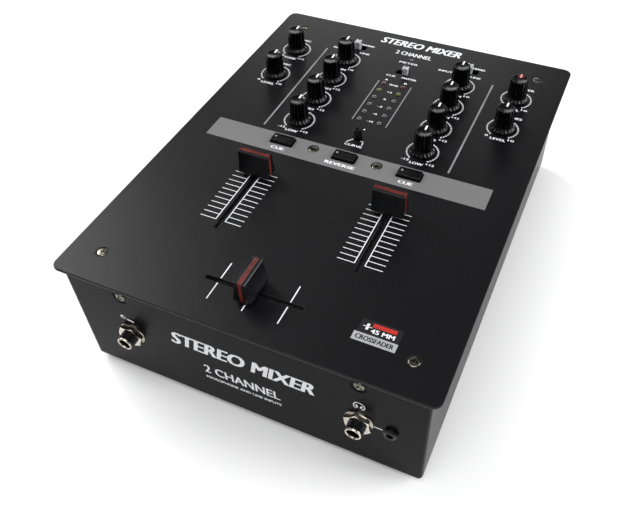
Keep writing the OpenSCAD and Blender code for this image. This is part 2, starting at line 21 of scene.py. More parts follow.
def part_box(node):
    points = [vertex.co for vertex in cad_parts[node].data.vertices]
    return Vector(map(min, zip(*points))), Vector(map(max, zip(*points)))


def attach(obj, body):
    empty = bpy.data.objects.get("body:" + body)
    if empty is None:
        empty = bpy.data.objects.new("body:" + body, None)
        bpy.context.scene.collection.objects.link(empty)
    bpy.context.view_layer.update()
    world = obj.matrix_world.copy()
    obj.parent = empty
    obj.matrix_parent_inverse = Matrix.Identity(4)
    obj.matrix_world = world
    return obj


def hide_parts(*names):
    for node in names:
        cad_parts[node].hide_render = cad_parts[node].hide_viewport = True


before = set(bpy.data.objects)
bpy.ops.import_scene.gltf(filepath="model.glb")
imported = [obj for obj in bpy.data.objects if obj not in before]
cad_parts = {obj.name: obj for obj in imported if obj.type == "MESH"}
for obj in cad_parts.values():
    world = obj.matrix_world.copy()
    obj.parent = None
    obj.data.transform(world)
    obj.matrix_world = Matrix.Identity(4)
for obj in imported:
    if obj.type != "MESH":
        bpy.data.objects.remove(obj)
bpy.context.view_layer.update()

MM = 0.001
LOG = logging.getLogger("mixer")

Point = tuple[float, float]
Colour = tuple[float, float, float]
Outline = Sequence[Point]


# ---- Places in the frame -------------------------------------------------------


def low(node: str) -> Vector:
    """Returns the lowest corner of a frame node, in millimetres."""
    return Vector(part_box(node)[0]) / MM


def high(node: str) -> Vector:
    """Returns the highest corner of a frame node, in millimetres."""
    return Vector(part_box(node)[1]) / MM


def middle(node: str) -> Vector:
    """Returns the middle of a frame node's box, in millimetres."""
    return (low(node) + high(node)) / 2


def at(x: float, y: float, z: float) -> Matrix:
    """Returns the matrix that moves a form to that place."""
    return Matrix.Translation((x, y, z))


def turned(axis: str, degrees: float) -> Matrix:
    """Returns the matrix that turns a form about the named axis."""
    return Matrix.Rotation(math.radians(degrees), 4, axis)


def facing_front(x: float, y: float, z: float) -> Matrix:
    """Returns the matrix that stands a form drawn facing up on a front wall, facing -Y."""
    return at(x, y, z) @ turned("X", 90)


def facing_back(x: float, y: float, z: float) -> Matrix:
    """Returns the matrix that stands a form drawn facing up on a back wall, facing +Y."""
    return at(x, y, z) @ turned("X", -90)


FACE_Z = high("top_panel").z
FRONT_Y = low("lower_chassis").y
REAR_Y = high("lower_chassis").y


# ---- Outlines ------------------------------------------------------------------


def circle(radius: float, steps: int = 48) -> list[Point]:
    """Returns the points of a circle round the origin."""
    angles = (math.tau * i / steps for i in range(steps))
    return [(radius * math.cos(a), radius * math.sin(a)) for a in angles]


def fillet(corners: Outline, radius: float, steps: int = 5) -> list[Point]:
    """Rounds the corners of a closed outline.

    Args:
        corners: The outline's corners in order.
        radius: The radius of each corner.
        steps: The number of chords along each corner.

    Returns:
        The rounded outline's points.
    """
    points: list[Point] = []
    for i, corner in enumerate(corners):
        here = Vector(corner)
        back = (Vector(corners[i - 1]) - here).normalized()
        ahead = (Vector(corners[(i + 1) % len(corners)]) - here).normalized()
        half = math.acos(max(-1.0, min(1.0, back.dot(ahead)))) / 2
        bisector = (back + ahead).normalized()
        centre = here + bisector * (radius / math.sin(half))
        start = here + back * (radius / math.tan(half)) - centre
        end = here + ahead * (radius / math.tan(half)) - centre
        sweep = start.angle_signed(end)
        for k in range(steps + 1):
            turn = -sweep * k / steps
            spoke = Matrix.Rotation(turn, 2) @ start
            points.append(tuple(centre + spoke))
    return points


def rectangle(width: float, depth: float, radius: float = 0.0, steps: int = 5) -> list[Point]:
    """Returns a rectangle round the origin, with round corners if radius isn't 0."""
    x, y = width / 2, depth / 2
    corners = [(-x, -y), (x, -y), (x, y), (-x, y)]
    return fillet(corners, radius, steps) if radius else corners


def shifted(outline: Outline, x: float, y: float) -> list[Point]:
    """Returns an outline moved by x and y."""
    return [(px + x, py + y) for px, py in outline]


def inset(outline: Outline, depth: float) -> list[Point]:
    """Moves an anticlockwise outline inwards.

    Args:
        outline: The outline's points.
        depth: How far each side moves.

    Returns:
        The smaller outline, with the same number of points.
    """
    points: list[Point] = []
    for i, point in enumerate(outline):
        here = Vector(point)
        sides = (here - Vector(outline[i - 1]), Vector(outline[(i + 1) % len(outline)]) - here)
        normals = [Vector((-side.y, side.x)).normalized() for side in sides]
        spread = 1 + normals[0].dot(normals[1])
        points.append(tuple(here + (normals[0] + normals[1]) * (depth / max(spread, 0.3))))
    return points


# ---- Forms ---------------------------------------------------------------------


class Cut(Enum):
    """What one form does to another."""

    AWAY = "DIFFERENCE"
    COMMON = "INTERSECT"


class Form:
    """A mesh of closed solids, in millimetres."""

    def __init__(self) -> None:
        """Starts an empty form."""
        self.mesh = bmesh.new()

    def loft(self, rings: Sequence[Sequence[Vector]], endless: bool = False) -> "Form":
        """Skins a row of rings with the same number of points.

        Args:
            rings: The rings in order.
            endless: Whether the last ring joins the first, with no caps.

        Returns:
            This form.
        """
        rows = [[self.mesh.verts.new(point) for point in ring] for ring in rings]
        pairs = list(zip(rows, rows[1:] + rows[:1]))
        for one, two in pairs if endless else pairs[:-1]:
            for i in range(len(one)):
                self.mesh.faces.new((one[i - 1], one[i], two[i], two[i - 1]))
        if not endless:
            self.mesh.faces.new(reversed(rows[0]))
            self.mesh.faces.new(rows[-1])
        return self

    def lathe(self, profile: Outline, steps: int = 48, hollow: bool = False) -> "Form":
        """Turns a profile of (radius, height) points about the Z axis.

        Args:
            profile: The profile's points.
            steps: The number of sides.
            hollow: Whether the profile is a closed loop, which leaves a bore.

        Returns:
            This form.
        """
        unit = circle(1.0, steps)
        rings = [[Vector((r * x, r * y, z)) for x, y in unit] for r, z in profile]
        return self.loft(rings, endless=hollow)

    def prism(
        self, outline: Outline, bottom: float, top: float, edge: float = 0.0, foot: float = 0.0, steps: int = 3
    ) -> "Form":
        """Raises an outline into a solid.

        Args:
            outline: The outline's points, anticlockwise.
            bottom: The height of the lower face.
            top: The height of the upper face.
            edge: The radius of the upper edge.
            foot: The radius of the lower edge.
            steps: The number of chords round each edge.

        Returns:
            This form.
        """
        levels: list[tuple[float, float]] = []
        for radius, face, way in ((foot, bottom, 1), (edge, top, -1)):
            turns = [math.pi / 2 * k / steps for k in range(steps + 1)] if radius else [math.pi / 2]
            arc = [(radius * (1 - math.sin(a)), face + way * radius * (1 - math.cos(a))) for a in turns]
            levels += arc if way > 0 else reversed(arc)
        rings = [[Vector((x, y, z)) for x, y in inset(outline, depth)] for depth, z in levels]
        return self.loft(rings)

    def sheet(
        self, outline: Outline, holes: Iterable[Outline], bottom: float, top: float, edge: float
    ) -> "Form":
        """Adds a flat sheet with holes, all its edges rounded.

        Args:
            outline: The sheet's outline.
            holes: The outlines of its holes.
            bottom: The height of its lower face.
            top: The height of its upper face.
            edge: The radius of its edges.

        Returns:
            This form.
        """
        curve = bpy.data.curves.new("scratch", "CURVE")
        curve.dimensions = "2D"
        curve.fill_mode = "BOTH"
        for loop in [outline, *holes]:
            spline = curve.splines.new("POLY")
            spline.points.add(len(loop) - 1)
            for point, (x, y) in zip(spline.points, loop):
                point.co = (x, y, 0, 1)
            spline.use_cyclic_u = True
        curve.extrude = (top - bottom) / 2 - edge
        curve.bevel_depth = edge
        curve.bevel_resolution = 2
        curve.offset = -edge
        return self.join(solid_of(curve), [at(0, 0, (top + bottom) / 2)])

    def join(self, other: "Form", places: Sequence[Matrix] = (Matrix.Identity(4),)) -> "Form":
        """Adds a copy of another form at each place, and returns this form."""
        for place in places:
            copy = other.mesh.copy()
            copy.transform(place)
            mesh = bpy.data.meshes.new("scratch")
            copy.to_mesh(mesh)
            self.mesh.from_mesh(mesh)
            bpy.data.meshes.remove(mesh)
            copy.free()
        return self

    def moved(self, place: Matrix) -> "Form":
        """Moves the whole form, and returns it."""
        self.mesh.transform(place)
        return self

    def cut(self, other: "Form", how: Cut = Cut.AWAY) -> "Form":
        """Cuts this form with another.

        Args:
            other: The cutting form.
            how: Whether it takes its shape away or leaves what is common.

        Returns:
            This form.
        """
        body, tool = (scratch_object(form.to_mesh("scratch")) for form in (self, other))
        modifier = body.modifiers.new("cut", "BOOLEAN")
        modifier.operation = how.value
        modifier.solver = "EXACT"
        modifier.object = tool
        result = baked(body)
        self.mesh.clear()
        self.mesh.from_mesh(result)
        bpy.data.meshes.remove(result)
        bpy.data.objects.remove(tool)
        return self

    def to_mesh(self, name: str) -> bpy.types.Mesh:
        """Returns the form as a mesh with its faces turned outwards, still in millimetres."""
        bmesh.ops.recalc_face_normals(self.mesh, faces=self.mesh.faces)
        mesh = bpy.data.meshes.new(name)
        self.mesh.to_mesh(mesh)
        return mesh


def scratch_object(data: bpy.types.ID) -> bpy.types.Object:
    """Returns an object for data, linked so that its modifiers run."""
    holder = bpy.data.objects.new("scratch", data)
    bpy.context.scene.collection.objects.link(holder)
    return holder


def baked(holder: bpy.types.Object) -> bpy.types.Mesh:
    """Returns an object's final mesh, and removes the object."""
    bpy.context.view_layer.update()
    graph = bpy.context.evaluated_depsgraph_get()
    mesh = bpy.data.meshes.new_from_object(holder.evaluated_get(graph))
    bpy.data.objects.remove(holder)
    return mesh


def solid_of(curve: bpy.types.Curve) -> Form:
    """Returns the closed solid of a filled curve or a word."""
    mesh = baked(scratch_object(curve))
    form = Form()
    form.mesh.from_mesh(mesh)
    bmesh.ops.remove_doubles(form.mesh, verts=form.mesh.verts, dist=1e-4)
    bpy.data.meshes.remove(mesh)
    bpy.data.curves.remove(curve)
    return form


def lettering(word: str, height: float, width: float, thickness: float, slant: float = 0.0) -> Form:
    """Makes a word as a thin solid round the origin.

    Args:
        word: The letters.
        height: The height of the whole word.
        width: The width of the whole word.
        thickness: How far the word stands up from height 0.
        slant: How far the letters lean to the right, for each unit of their height.

    Returns:
        The word as a form.
    """
    curve = bpy.data.curves.new("scratch", "FONT")
    curve.body = word
    curve.size = 1.0
    curve.resolution_u = 3
    curve.extrude = 0.5
    form = solid_of(curve)
    form.moved(Matrix.Shear("YZ", 4, (slant, 0)).transposed())
    xs = [vert.co.x for vert in form.mesh.verts]
    ys = [vert.co.y for vert in form.mesh.verts]
    centre = Vector(((min(xs) + max(xs)) / 2, (min(ys) + max(ys)) / 2, -0.5))
    scale = Matrix.Diagonal((width / (max(xs) - min(xs)), height / (max(ys) - min(ys)), thickness, 1))
    return form.moved(scale @ Matrix.Translation(-centre))


# ---- Shader graphs -------------------------------------------------------------


class Wire:
    """A socket's output, on which arithmetic adds Math nodes."""

    def __init__(self, graph: "Graph", socket: bpy.types.NodeSocket) -> None:
        """Wraps a socket of a graph."""
        self.graph = graph
        self.socket = socket

    def _math(self, operation: str, one: Any, two: Any) -> "Wire":
        """Returns a Math node's result."""
        return self.graph.node("ShaderNodeMath", {"operation": operation}, {0: one, 1: two})

    def __add__(self, other: Any) -> "Wire":
        """Returns self + other."""
        return self._math("ADD", self, other)

    def __radd__(self, other: Any) -> "Wire":
        """Returns other + self."""
        return self._math("ADD", other, self)

    def __sub__(self, other: Any) -> "Wire":
        """Returns self - other."""
        return self._math("SUBTRACT", self, other)

    def __rsub__(self, other: Any) -> "Wire":
        """Returns other - self."""
        return self._math("SUBTRACT", other, self)

    def __mul__(self, other: Any) -> "Wire":
        """Returns self * other."""
        return self._math("MULTIPLY", self, other)

    def __rmul__(self, other: Any) -> "Wire":
        """Returns other * self."""
        return self._math("MULTIPLY", other, self)


class Graph:
    """A material's nodes round one Principled shader."""

    def __init__(self, name: str) -> None:
        """Starts a material of that name."""
        self.material = bpy.data.materials.new(name)
        self.material.use_nodes = True
        self.nodes = self.material.node_tree.nodes
        self.links = self.material.node_tree.links
        self.nodes.clear()
        self.shader = self.nodes.new("ShaderNodeBsdfPrincipled")
        output = self.nodes.new("ShaderNodeOutputMaterial")
        self.links.new(self.shader.outputs[0], output.inputs[0])

    def node(
        self, kind: str, settings: dict[str, Any], sockets: dict[str | int, Any], output: str | int = 0
    ) -> Wire:
        """Adds a node.

        Args:
            kind: The node's type.
            settings: Its settings, with a colour ramp's stops under "stops".
            sockets: The values or wires of its inputs.
            output: The output that is wanted.

        Returns:
            That output.
        """
        node = self.nodes.new(kind)
        for name, value in settings.items():
            if name == "stops":
                ramp = node.color_ramp
                for element, (place, colour) in zip((ramp.elements[0], ramp.elements[1]), value):
                    element.position = place
                    element.color = (*colour, 1)
            else:
                setattr(node, name, value)
        for name, value in sockets.items():
            self.feed(node.inputs[name], value)
        return Wire(self, node.outputs[output])

    def feed(self, socket: bpy.types.NodeSocket, value: Any) -> None:
        """Links a wire to a socket, or sets the socket to a value."""
        if isinstance(value, Wire):
            self.links.new(value.socket, socket)
        elif isinstance(value, tuple) and len(value) == 3 and socket.type == "RGBA":
            socket.default_value = (*value, 1)
        else:
            socket.default_value = value

    def surface(self, **sockets: Any) -> None:
        """Feeds the shader's sockets, whose names have _ for each space."""
        for name, value in sockets.items():
            self.feed(self.shader.inputs[name.replace("_", " ").title().replace("Ior", "IOR")], value)

    def place(self) -> Wire:
        """Returns the point on the object, in metres."""
        return self.node("ShaderNodeTexCoord", {}, {}, "Object")

    def noise(self, size: float, detail: float = 3.0, stretch: Colour = (1, 1, 1)) -> Wire:
        """Returns noise from 0 to 1.

        Args:
            size: The size of its features, in millimetres.
            detail: How many finer layers it has.
            stretch: How much finer it is along each axis.

        Returns:
            The noise.
        """
        point = self.node("ShaderNodeMapping", {}, {"Vector": self.place(), "Scale": stretch})
        sockets = {"Vector": point, "Scale": 1 / (size * MM), "Detail": detail}
        return self.node("ShaderNodeTexNoise", {}, sockets, 0)

    def blend(self, factor: Any, one: Any, two: Any) -> Wire:
        """Returns a colour between one and two."""
        return self.node("ShaderNodeMix", {"data_type": "RGBA"}, {0: factor, 6: one, 7: two}, 2)

    def between(self, value: Wire, start: float, end: float) -> Wire:
        """Returns 0 where value is below start, 1 above end, and a smooth rise between."""
        settings = {"interpolation_type": "SMOOTHSTEP"}
        return self.node("ShaderNodeMapRange", settings, {"Value": value, 1: start, 2: end})

    def relief(self, height: Wire, depth: float, beneath: Wire | None = None) -> Wire:
        """Returns a normal bent by a height.

        Args:
            height: The height, from 0 to 1.
            depth: What a height of 1 stands for, in millimetres.
            beneath: The normal that it adds to.

        Returns:
            The normal.
        """
        sockets = {"Height": height, "Distance": depth * MM, "Strength": 1.0}
        if beneath:
            sockets["Normal"] = beneath
        return self.node("ShaderNodeBump", {}, sockets)


def scaled(colour: Colour, factor: float) -> Colour:
    """Returns a colour made lighter or darker."""
    return tuple(min(1.0, part * factor) for part in colour)


# ---- Finishes ------------------------------------------------------------------


@dataclass(frozen=True)
class Finish:
    """A named surface finish, whose material is made once."""

    name: str

    def material(self) -> bpy.types.Material:
        """Returns the finish's material, made the first time it is asked for."""
        title = f"{self.name}_finish"
        found = bpy.data.materials.get(title)
        if found:
            return found
        graph = Graph(title)
        self.paint(graph)
        return graph.material

    def paint(self, graph: Graph) -> None:
        """Fills in the material's nodes."""
        raise NotImplementedError


@dataclass(frozen=True)
class PowderCoat(Finish):
    """Black paint baked on sheet steel, with a fine grain; its lighter specks are partly grain tone and partly
    painted glints.
    """

    colour: Colour = (0.0014, 0.0014, 0.0021)
    grain: float = 0.6
    depth: float = 0.1
    roughness: float = 0.4
    specular: float = 0.25

    def paint(self, graph: Graph) -> None:
        """Fills in the material's nodes."""
        grain = graph.noise(self.grain, 2.5)
        patches = graph.noise(60, 3)
        # Specks on the grain's high points: grain tone, and painted glints where the paint would catch light.
        grain_and_glint_speck = graph.between(grain, 0.48, 0.68)
        dark = graph.blend(patches, scaled(self.colour, 0.75), scaled(self.colour, 0.95))
        # About twice the base colour: the painted glint colour of the specks.
        light = graph.blend(patches, scaled(self.colour, 1.9), scaled(self.colour, 2.3))
        graph.surface(
            base_color=graph.blend(grain_and_glint_speck, dark, light),
            roughness=self.roughness - 0.06 + 0.06 * patches + 0.08 * grain_and_glint_speck,
            specular_ior_level=self.specular,
            normal=graph.relief(grain, self.depth),
        )


@dataclass(frozen=True)
class Moulded(Finish):
    """Injection-moulded plastic with a spark-eroded texture and faint handling marks."""

    colour: Colour = (0.012, 0.012, 0.014)
    roughness: float = 0.38
    texture: float = 0.25
    depth: float = 0.008
    specular: float = 0.45

    def paint(self, graph: Graph) -> None:
        """Fills in the material's nodes."""
        texture = graph.noise(self.texture, 2)
        marks = graph.between(graph.noise(3.5, 4), 0.45, 0.7)
        graph.surface(
            base_color=graph.blend(marks, self.colour, scaled(self.colour, 1.5)),
            roughness=self.roughness + 0.1 * marks + 0.05 * texture,
            specular_ior_level=self.specular,
            normal=graph.relief(texture, self.depth),
        )


@dataclass(frozen=True)
class Plated(Finish):
    """Bare or plated metal with fine tool marks and dull patches."""

    colour: Colour = (0.62, 0.61, 0.58)
    dull: Colour = (0.3, 0.29, 0.26)
    roughness: float = 0.24
    stretch: Colour = (1, 1, 1)

    def paint(self, graph: Graph) -> None:
        """Fills in the material's nodes."""
        marks = graph.noise(0.4, 3, self.stretch)
        patches = graph.between(graph.noise(2.5, 3), 0.5, 0.75)
        graph.surface(
            base_color=graph.blend(patches, self.colour, self.dull),
            metallic=1.0,
            roughness=self.roughness + 0.14 * patches + 0.1 * marks,
            normal=graph.relief(marks, 0.004),
        )


@dataclass(frozen=True)
class Ink(Finish):
    """Screen-printed ink, a little uneven where it lies on the grain."""

    colour: Colour = (0.8, 0.8, 0.82)
    ground: Colour = (0.45, 0.45, 0.47)
    roughness: float = 0.55

    def paint(self, graph: Graph) -> None:
        """Fills in the material's nodes."""
        grain = graph.noise(0.45, 2)
        thin = graph.between(grain, 0.55, 0.8)
        graph.surface(
            base_color=graph.blend(thin, self.colour, self.ground),
            roughness=self.roughness + 0.1 * thin,
            specular_ior_level=0.3,
            normal=graph.relief(grain, 0.02),
        )


@dataclass(frozen=True)
class Lens(Finish):
    """A cloudy coloured lens over an unlit lamp."""

    colour: Colour = (0.3, 0.3, 0.28)
    core: Colour = (0.5, 0.5, 0.46)

    def paint(self, graph: Graph) -> None:
        """Fills in the material's nodes."""
        cloud = graph.noise(0.9, 2)
        graph.surface(
            base_color=graph.blend(cloud, self.colour, self.core),
            roughness=0.12 + 0.1 * cloud,
            coat_weight=0.6,
            subsurface_weight=0.15,
            subsurface_scale=0.001,
        )


@dataclass(frozen=True)
class Laminate(Finish):
    """Glass-fibre board under solder resist, with copper tracks just showing."""

    colour: Colour = (0.012, 0.11, 0.04)
    track: Colour = (0.03, 0.19, 0.07)

    def paint(self, graph: Graph) -> None:
        """Fills in the material's nodes."""
        sockets = {"Vector": graph.place(), "Scale": 260.0, "Mortar Size": 0.16, "Mortar Smooth": 0.2}
        tracks = graph.node("ShaderNodeTexBrick", {"offset": 0.37}, sockets, "Fac")
        weave = graph.noise(0.8, 2, (1, 3, 1))
        graph.surface(
            base_color=graph.blend(tracks, self.colour, self.track),
            roughness=0.3 + 0.12 * weave,
            normal=graph.relief(tracks + 0.2 * weave, 0.03),
        )


@dataclass(frozen=True)
class Rubber(Finish):
    """Matt black rubber with a dusty bloom."""

    colour: Colour = (0.02, 0.02, 0.02)

    def paint(self, graph: Graph) -> None:
        """Fills in the material's nodes."""
        bloom = graph.between(graph.noise(4, 4), 0.45, 0.75)
        grain = graph.noise(0.3, 3)
        graph.surface(
            base_color=graph.blend(bloom, self.colour, scaled(self.colour, 2.4)),
            roughness=0.72 + 0.14 * bloom,
            specular_ior_level=0.3,
            normal=graph.relief(grain, 0.02),
        )


@dataclass(frozen=True)
class Label(Finish):
    """The silver film of a foil label, whose dark film above is a piece of its own."""

    split: float = 0.0
    dark: Colour = (0.01, 0.01, 0.012)
    silver: Colour = (0.5, 0.5, 0.51)

    def paint(self, graph: Graph) -> None:
        """Fills in the material's nodes."""
        streaks = graph.noise(1.2, 3, (1, 8, 1))
        graph.surface(
            base_color=graph.blend(streaks, self.silver, scaled(self.silver, 0.8)),
            metallic=0.35,
            roughness=0.32 + 0.1 * streaks,
        )


PANEL_PAINT = PowderCoat("panel_paint")
CASE_PAINT = PowderCoat("case_paint", (0.0009, 0.0009, 0.0014), 0.5, 0.02, 0.3, 0.055)
KNOB_PLASTIC = Moulded("knob_plastic", (0.001, 0.001, 0.0013), 0.17, specular=0.3)
CAP_PLASTIC = Moulded("cap_plastic", (0.0008, 0.001, 0.0018), 0.3, 0.3, 0.01, 0.4)
RED_PLASTIC = Moulded("red_plastic", (0.11, 0.013, 0.01), 0.3)
BUTTON_PLASTIC = Moulded("button_plastic", (0.001, 0.001, 0.0013), 0.24, specular=0.3)
SOCKET_BLACK = Plated("socket_black", (0.03, 0.03, 0.034), (0.02, 0.02, 0.02), 0.3)
BLACK_PLASTIC = Moulded("black_plastic", (0.005, 0.005, 0.006), 0.28, 0.4, 0.01)
GREY_PLASTIC = Moulded("grey_plastic", (0.06, 0.062, 0.066), 0.5, 0.4, 0.015)
RED_INSULATOR = Moulded("red_insulator", (0.45, 0.012, 0.012), 0.3)
WHITE_INSULATOR = Moulded("white_insulator", (0.72, 0.72, 0.68), 0.3)
SCREW_STEEL = Plated("screw_steel", (0.2, 0.19, 0.155), (0.05, 0.048, 0.04), 0.2)
NICKEL = Plated("nickel", (0.66, 0.62, 0.55), (0.4, 0.37, 0.31), 0.16)
SHEET_STEEL = Plated("sheet_steel", (0.55, 0.56, 0.57), (0.38, 0.39, 0.4), 0.32, (1, 6, 1))
ALUMINIUM = Plated("aluminium", (0.7, 0.7, 0.71), (0.5, 0.5, 0.51), 0.28, (1, 1, 5))
LEVER_SILVER = Moulded("lever_silver", (0.36, 0.36, 0.37), 0.22)
WHITE_INK = Ink("white_ink")
POINTER_INK = Ink("pointer_ink", (0.9, 0.9, 0.9), (0.75, 0.75, 0.75))
LINE_INK = Ink("line_ink", (0.24, 0.24, 0.25), (0.17, 0.17, 0.175))
BAND_INK = Ink("band_ink", (0.146, 0.146, 0.148), (0.118, 0.118, 0.12), 0.5)
RED_INK = Ink("red_ink", (0.42, 0.02, 0.012), (0.3, 0.015, 0.01))
PATCH_INK = Ink("patch_ink", (0.1, 0.008, 0.008), (0.07, 0.006, 0.006))
PINK_INK = Ink("pink_ink", (0.75, 0.3, 0.27), (0.6, 0.2, 0.18))
BLACK_INK = Ink("black_ink", (0.012, 0.012, 0.013), (0.02, 0.02, 0.021), 0.35)
CLEAR_LENS = Lens("clear_lens", (0.02, 0.02, 0.021), (0.06, 0.06, 0.06))
WINDOW_LENS = Lens("window_lens", (0.16, 0.16, 0.17), (0.3, 0.3, 0.31))
# The rim finishes are lighter than their lenses: painted highlights round the lens edges.
CLEAR_RIM_HIGHLIGHT = Lens("clear_rim_highlight", (0.1, 0.1, 0.105), (0.22, 0.22, 0.22))
GREEN_RIM_HIGHLIGHT = Lens("green_rim_highlight", (0.09, 0.095, 0.025), (0.2, 0.21, 0.06))
RED_RIM_HIGHLIGHT = Lens("red_rim_highlight", (0.06, 0.014, 0.011), (0.16, 0.045, 0.036))
GREEN_LENS = Lens("green_lens", (0.025, 0.028, 0.007), (0.09, 0.1, 0.02))
RED_LENS = Lens("red_lens", (0.02, 0.004, 0.0035), (0.05, 0.009, 0.008))
BOARD = Laminate("board_laminate")
FOOT_RUBBER = Rubber("foot_rubber")
DUST_FELT = Rubber("dust_felt", (0.004, 0.004, 0.004))
SILVER_FILM = Label("silver_film")


# ---- Bench ---------------------------------------------------------------------


class Bench:
    """Turns forms into pieces and sets them on their bodies."""

    sharp_angle = 35.0

    def add(
        self,
        name: str,
        form: Form,
        body: str,
        slot: str,
        finish: Finish,
        stands_for: Sequence[str] = (),
        sharp: float = sharp_angle,
    ) -> bpy.types.Object:
        """Makes a piece from a form.

        Args:
            name: The piece's name.
            form: Its shape, in place, in millimetres.
            body: The body that it rides on.
            slot: Not used.
            finish: Its finish.
            stands_for: The frame nodes that it replaces.
            sharp: Edges that turn further than this many degrees look sharp.

        Returns:
            The piece.
        """
        mesh = form.to_mesh(name)
        mesh.transform(Matrix.Scale(MM, 4))
        mesh.polygons.foreach_set("use_smooth", [True] * len(mesh.polygons))
        mesh.set_sharp_from_angle(angle=math.radians(sharp))
        mesh.materials.append(finish.material())
        form.mesh.free()
        piece = bpy.data.objects.new(name, mesh)
        bpy.context.scene.collection.objects.link(piece)
        weighted = piece.modifiers.new("even_shading", "WEIGHTED_NORMAL")
        weighted.keep_sharp = True
        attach(piece, body)
        if stands_for:
            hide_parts(*stands_for)
        LOG.info("%s: %d faces, rides on %s", name, len(mesh.polygons), body)
        return piece

    def dress(self, finish: Finish, *nodes: str) -> None:
        """Gives frame nodes that keep their own shape a finish."""
        for node in nodes:
            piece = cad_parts[node]
            if not piece.material_slots:
                piece.data.materials.append(None)
            for spot in piece.material_slots:
                spot.material = finish.material()
            LOG.info("%s: dressed in %s", node, finish.name)


# ---- Fasteners -----------------------------------------------------------------


@dataclass
class CrossScrew:
    """A screw with a cross recess, drawn with its seat at height 0."""

    radius: float = 2.55
    rise: float = 0.5
    pan: float = 0.0
    length: float = 5.0
    shank: float = 1.4
    wing: float = 1.8
    slot: float = 0.8
    recess: float = 1.4

    def form(self) -> Form:
        """Returns the screw's shape."""
        crown = self.pan + self.rise
        profile: list[Point] = [(self.shank, -self.length)]
        if self.pan:
            profile += [(self.shank, 0), (self.radius, 0)]
        else:
            profile += [(self.shank, self.shank - self.radius), (self.radius, 0)]
        steps = 6
        for k in range(steps + 1):
            turn = math.pi / 2 * k / steps
            profile.append((self.radius * math.cos(turn) + 0.12, self.pan * 0.35 + crown * 0.65 * math.sin(turn)))
        profile[-1] = (0.15, profile[-1][1])
        screw = Form().lathe(profile, 40)
        for turn in (0, 90):
            screw.cut(self.wing_tool().moved(at(0, 0, profile[-1][1]) @ turned("Z", turn)))
        return screw

    def wing_tool(self) -> Form:
        """Returns one pair of the driver's wings, which narrow downwards from height 0."""
        rings = [
            [Vector((x, y, z)) for x, y in rectangle(2 * self.wing * scale, self.slot * (0.6 + 0.4 * scale))]
            for z, scale in ((-self.recess, 0.45), (0.3, 1.05))
        ]
        return Form().loft(rings)


# ---- Panel ---------------------------------------------------------------------


TONE_NAMES = ("low", "mid", "high", "gain")
TONE_KNOBS = [f"{side}_{tone}" for side in ("left", "right") for tone in TONE_NAMES]
OUTER_KNOBS = ["mic_tone", "mic_level", "master_level", "phones_level"]
CHANNEL_FADERS = ("left_fader", "right_fader")
KEYS = {"left_cue": "left_cue_key", "reverse": "reverse_key", "right_cue": "right_cue_key"}
LEVERS = {
    "left_selector": (1, "left_selector"),
    "right_selector": (1, "right_selector"),
    "meter_switch": (-1, "meter_switch"),
}


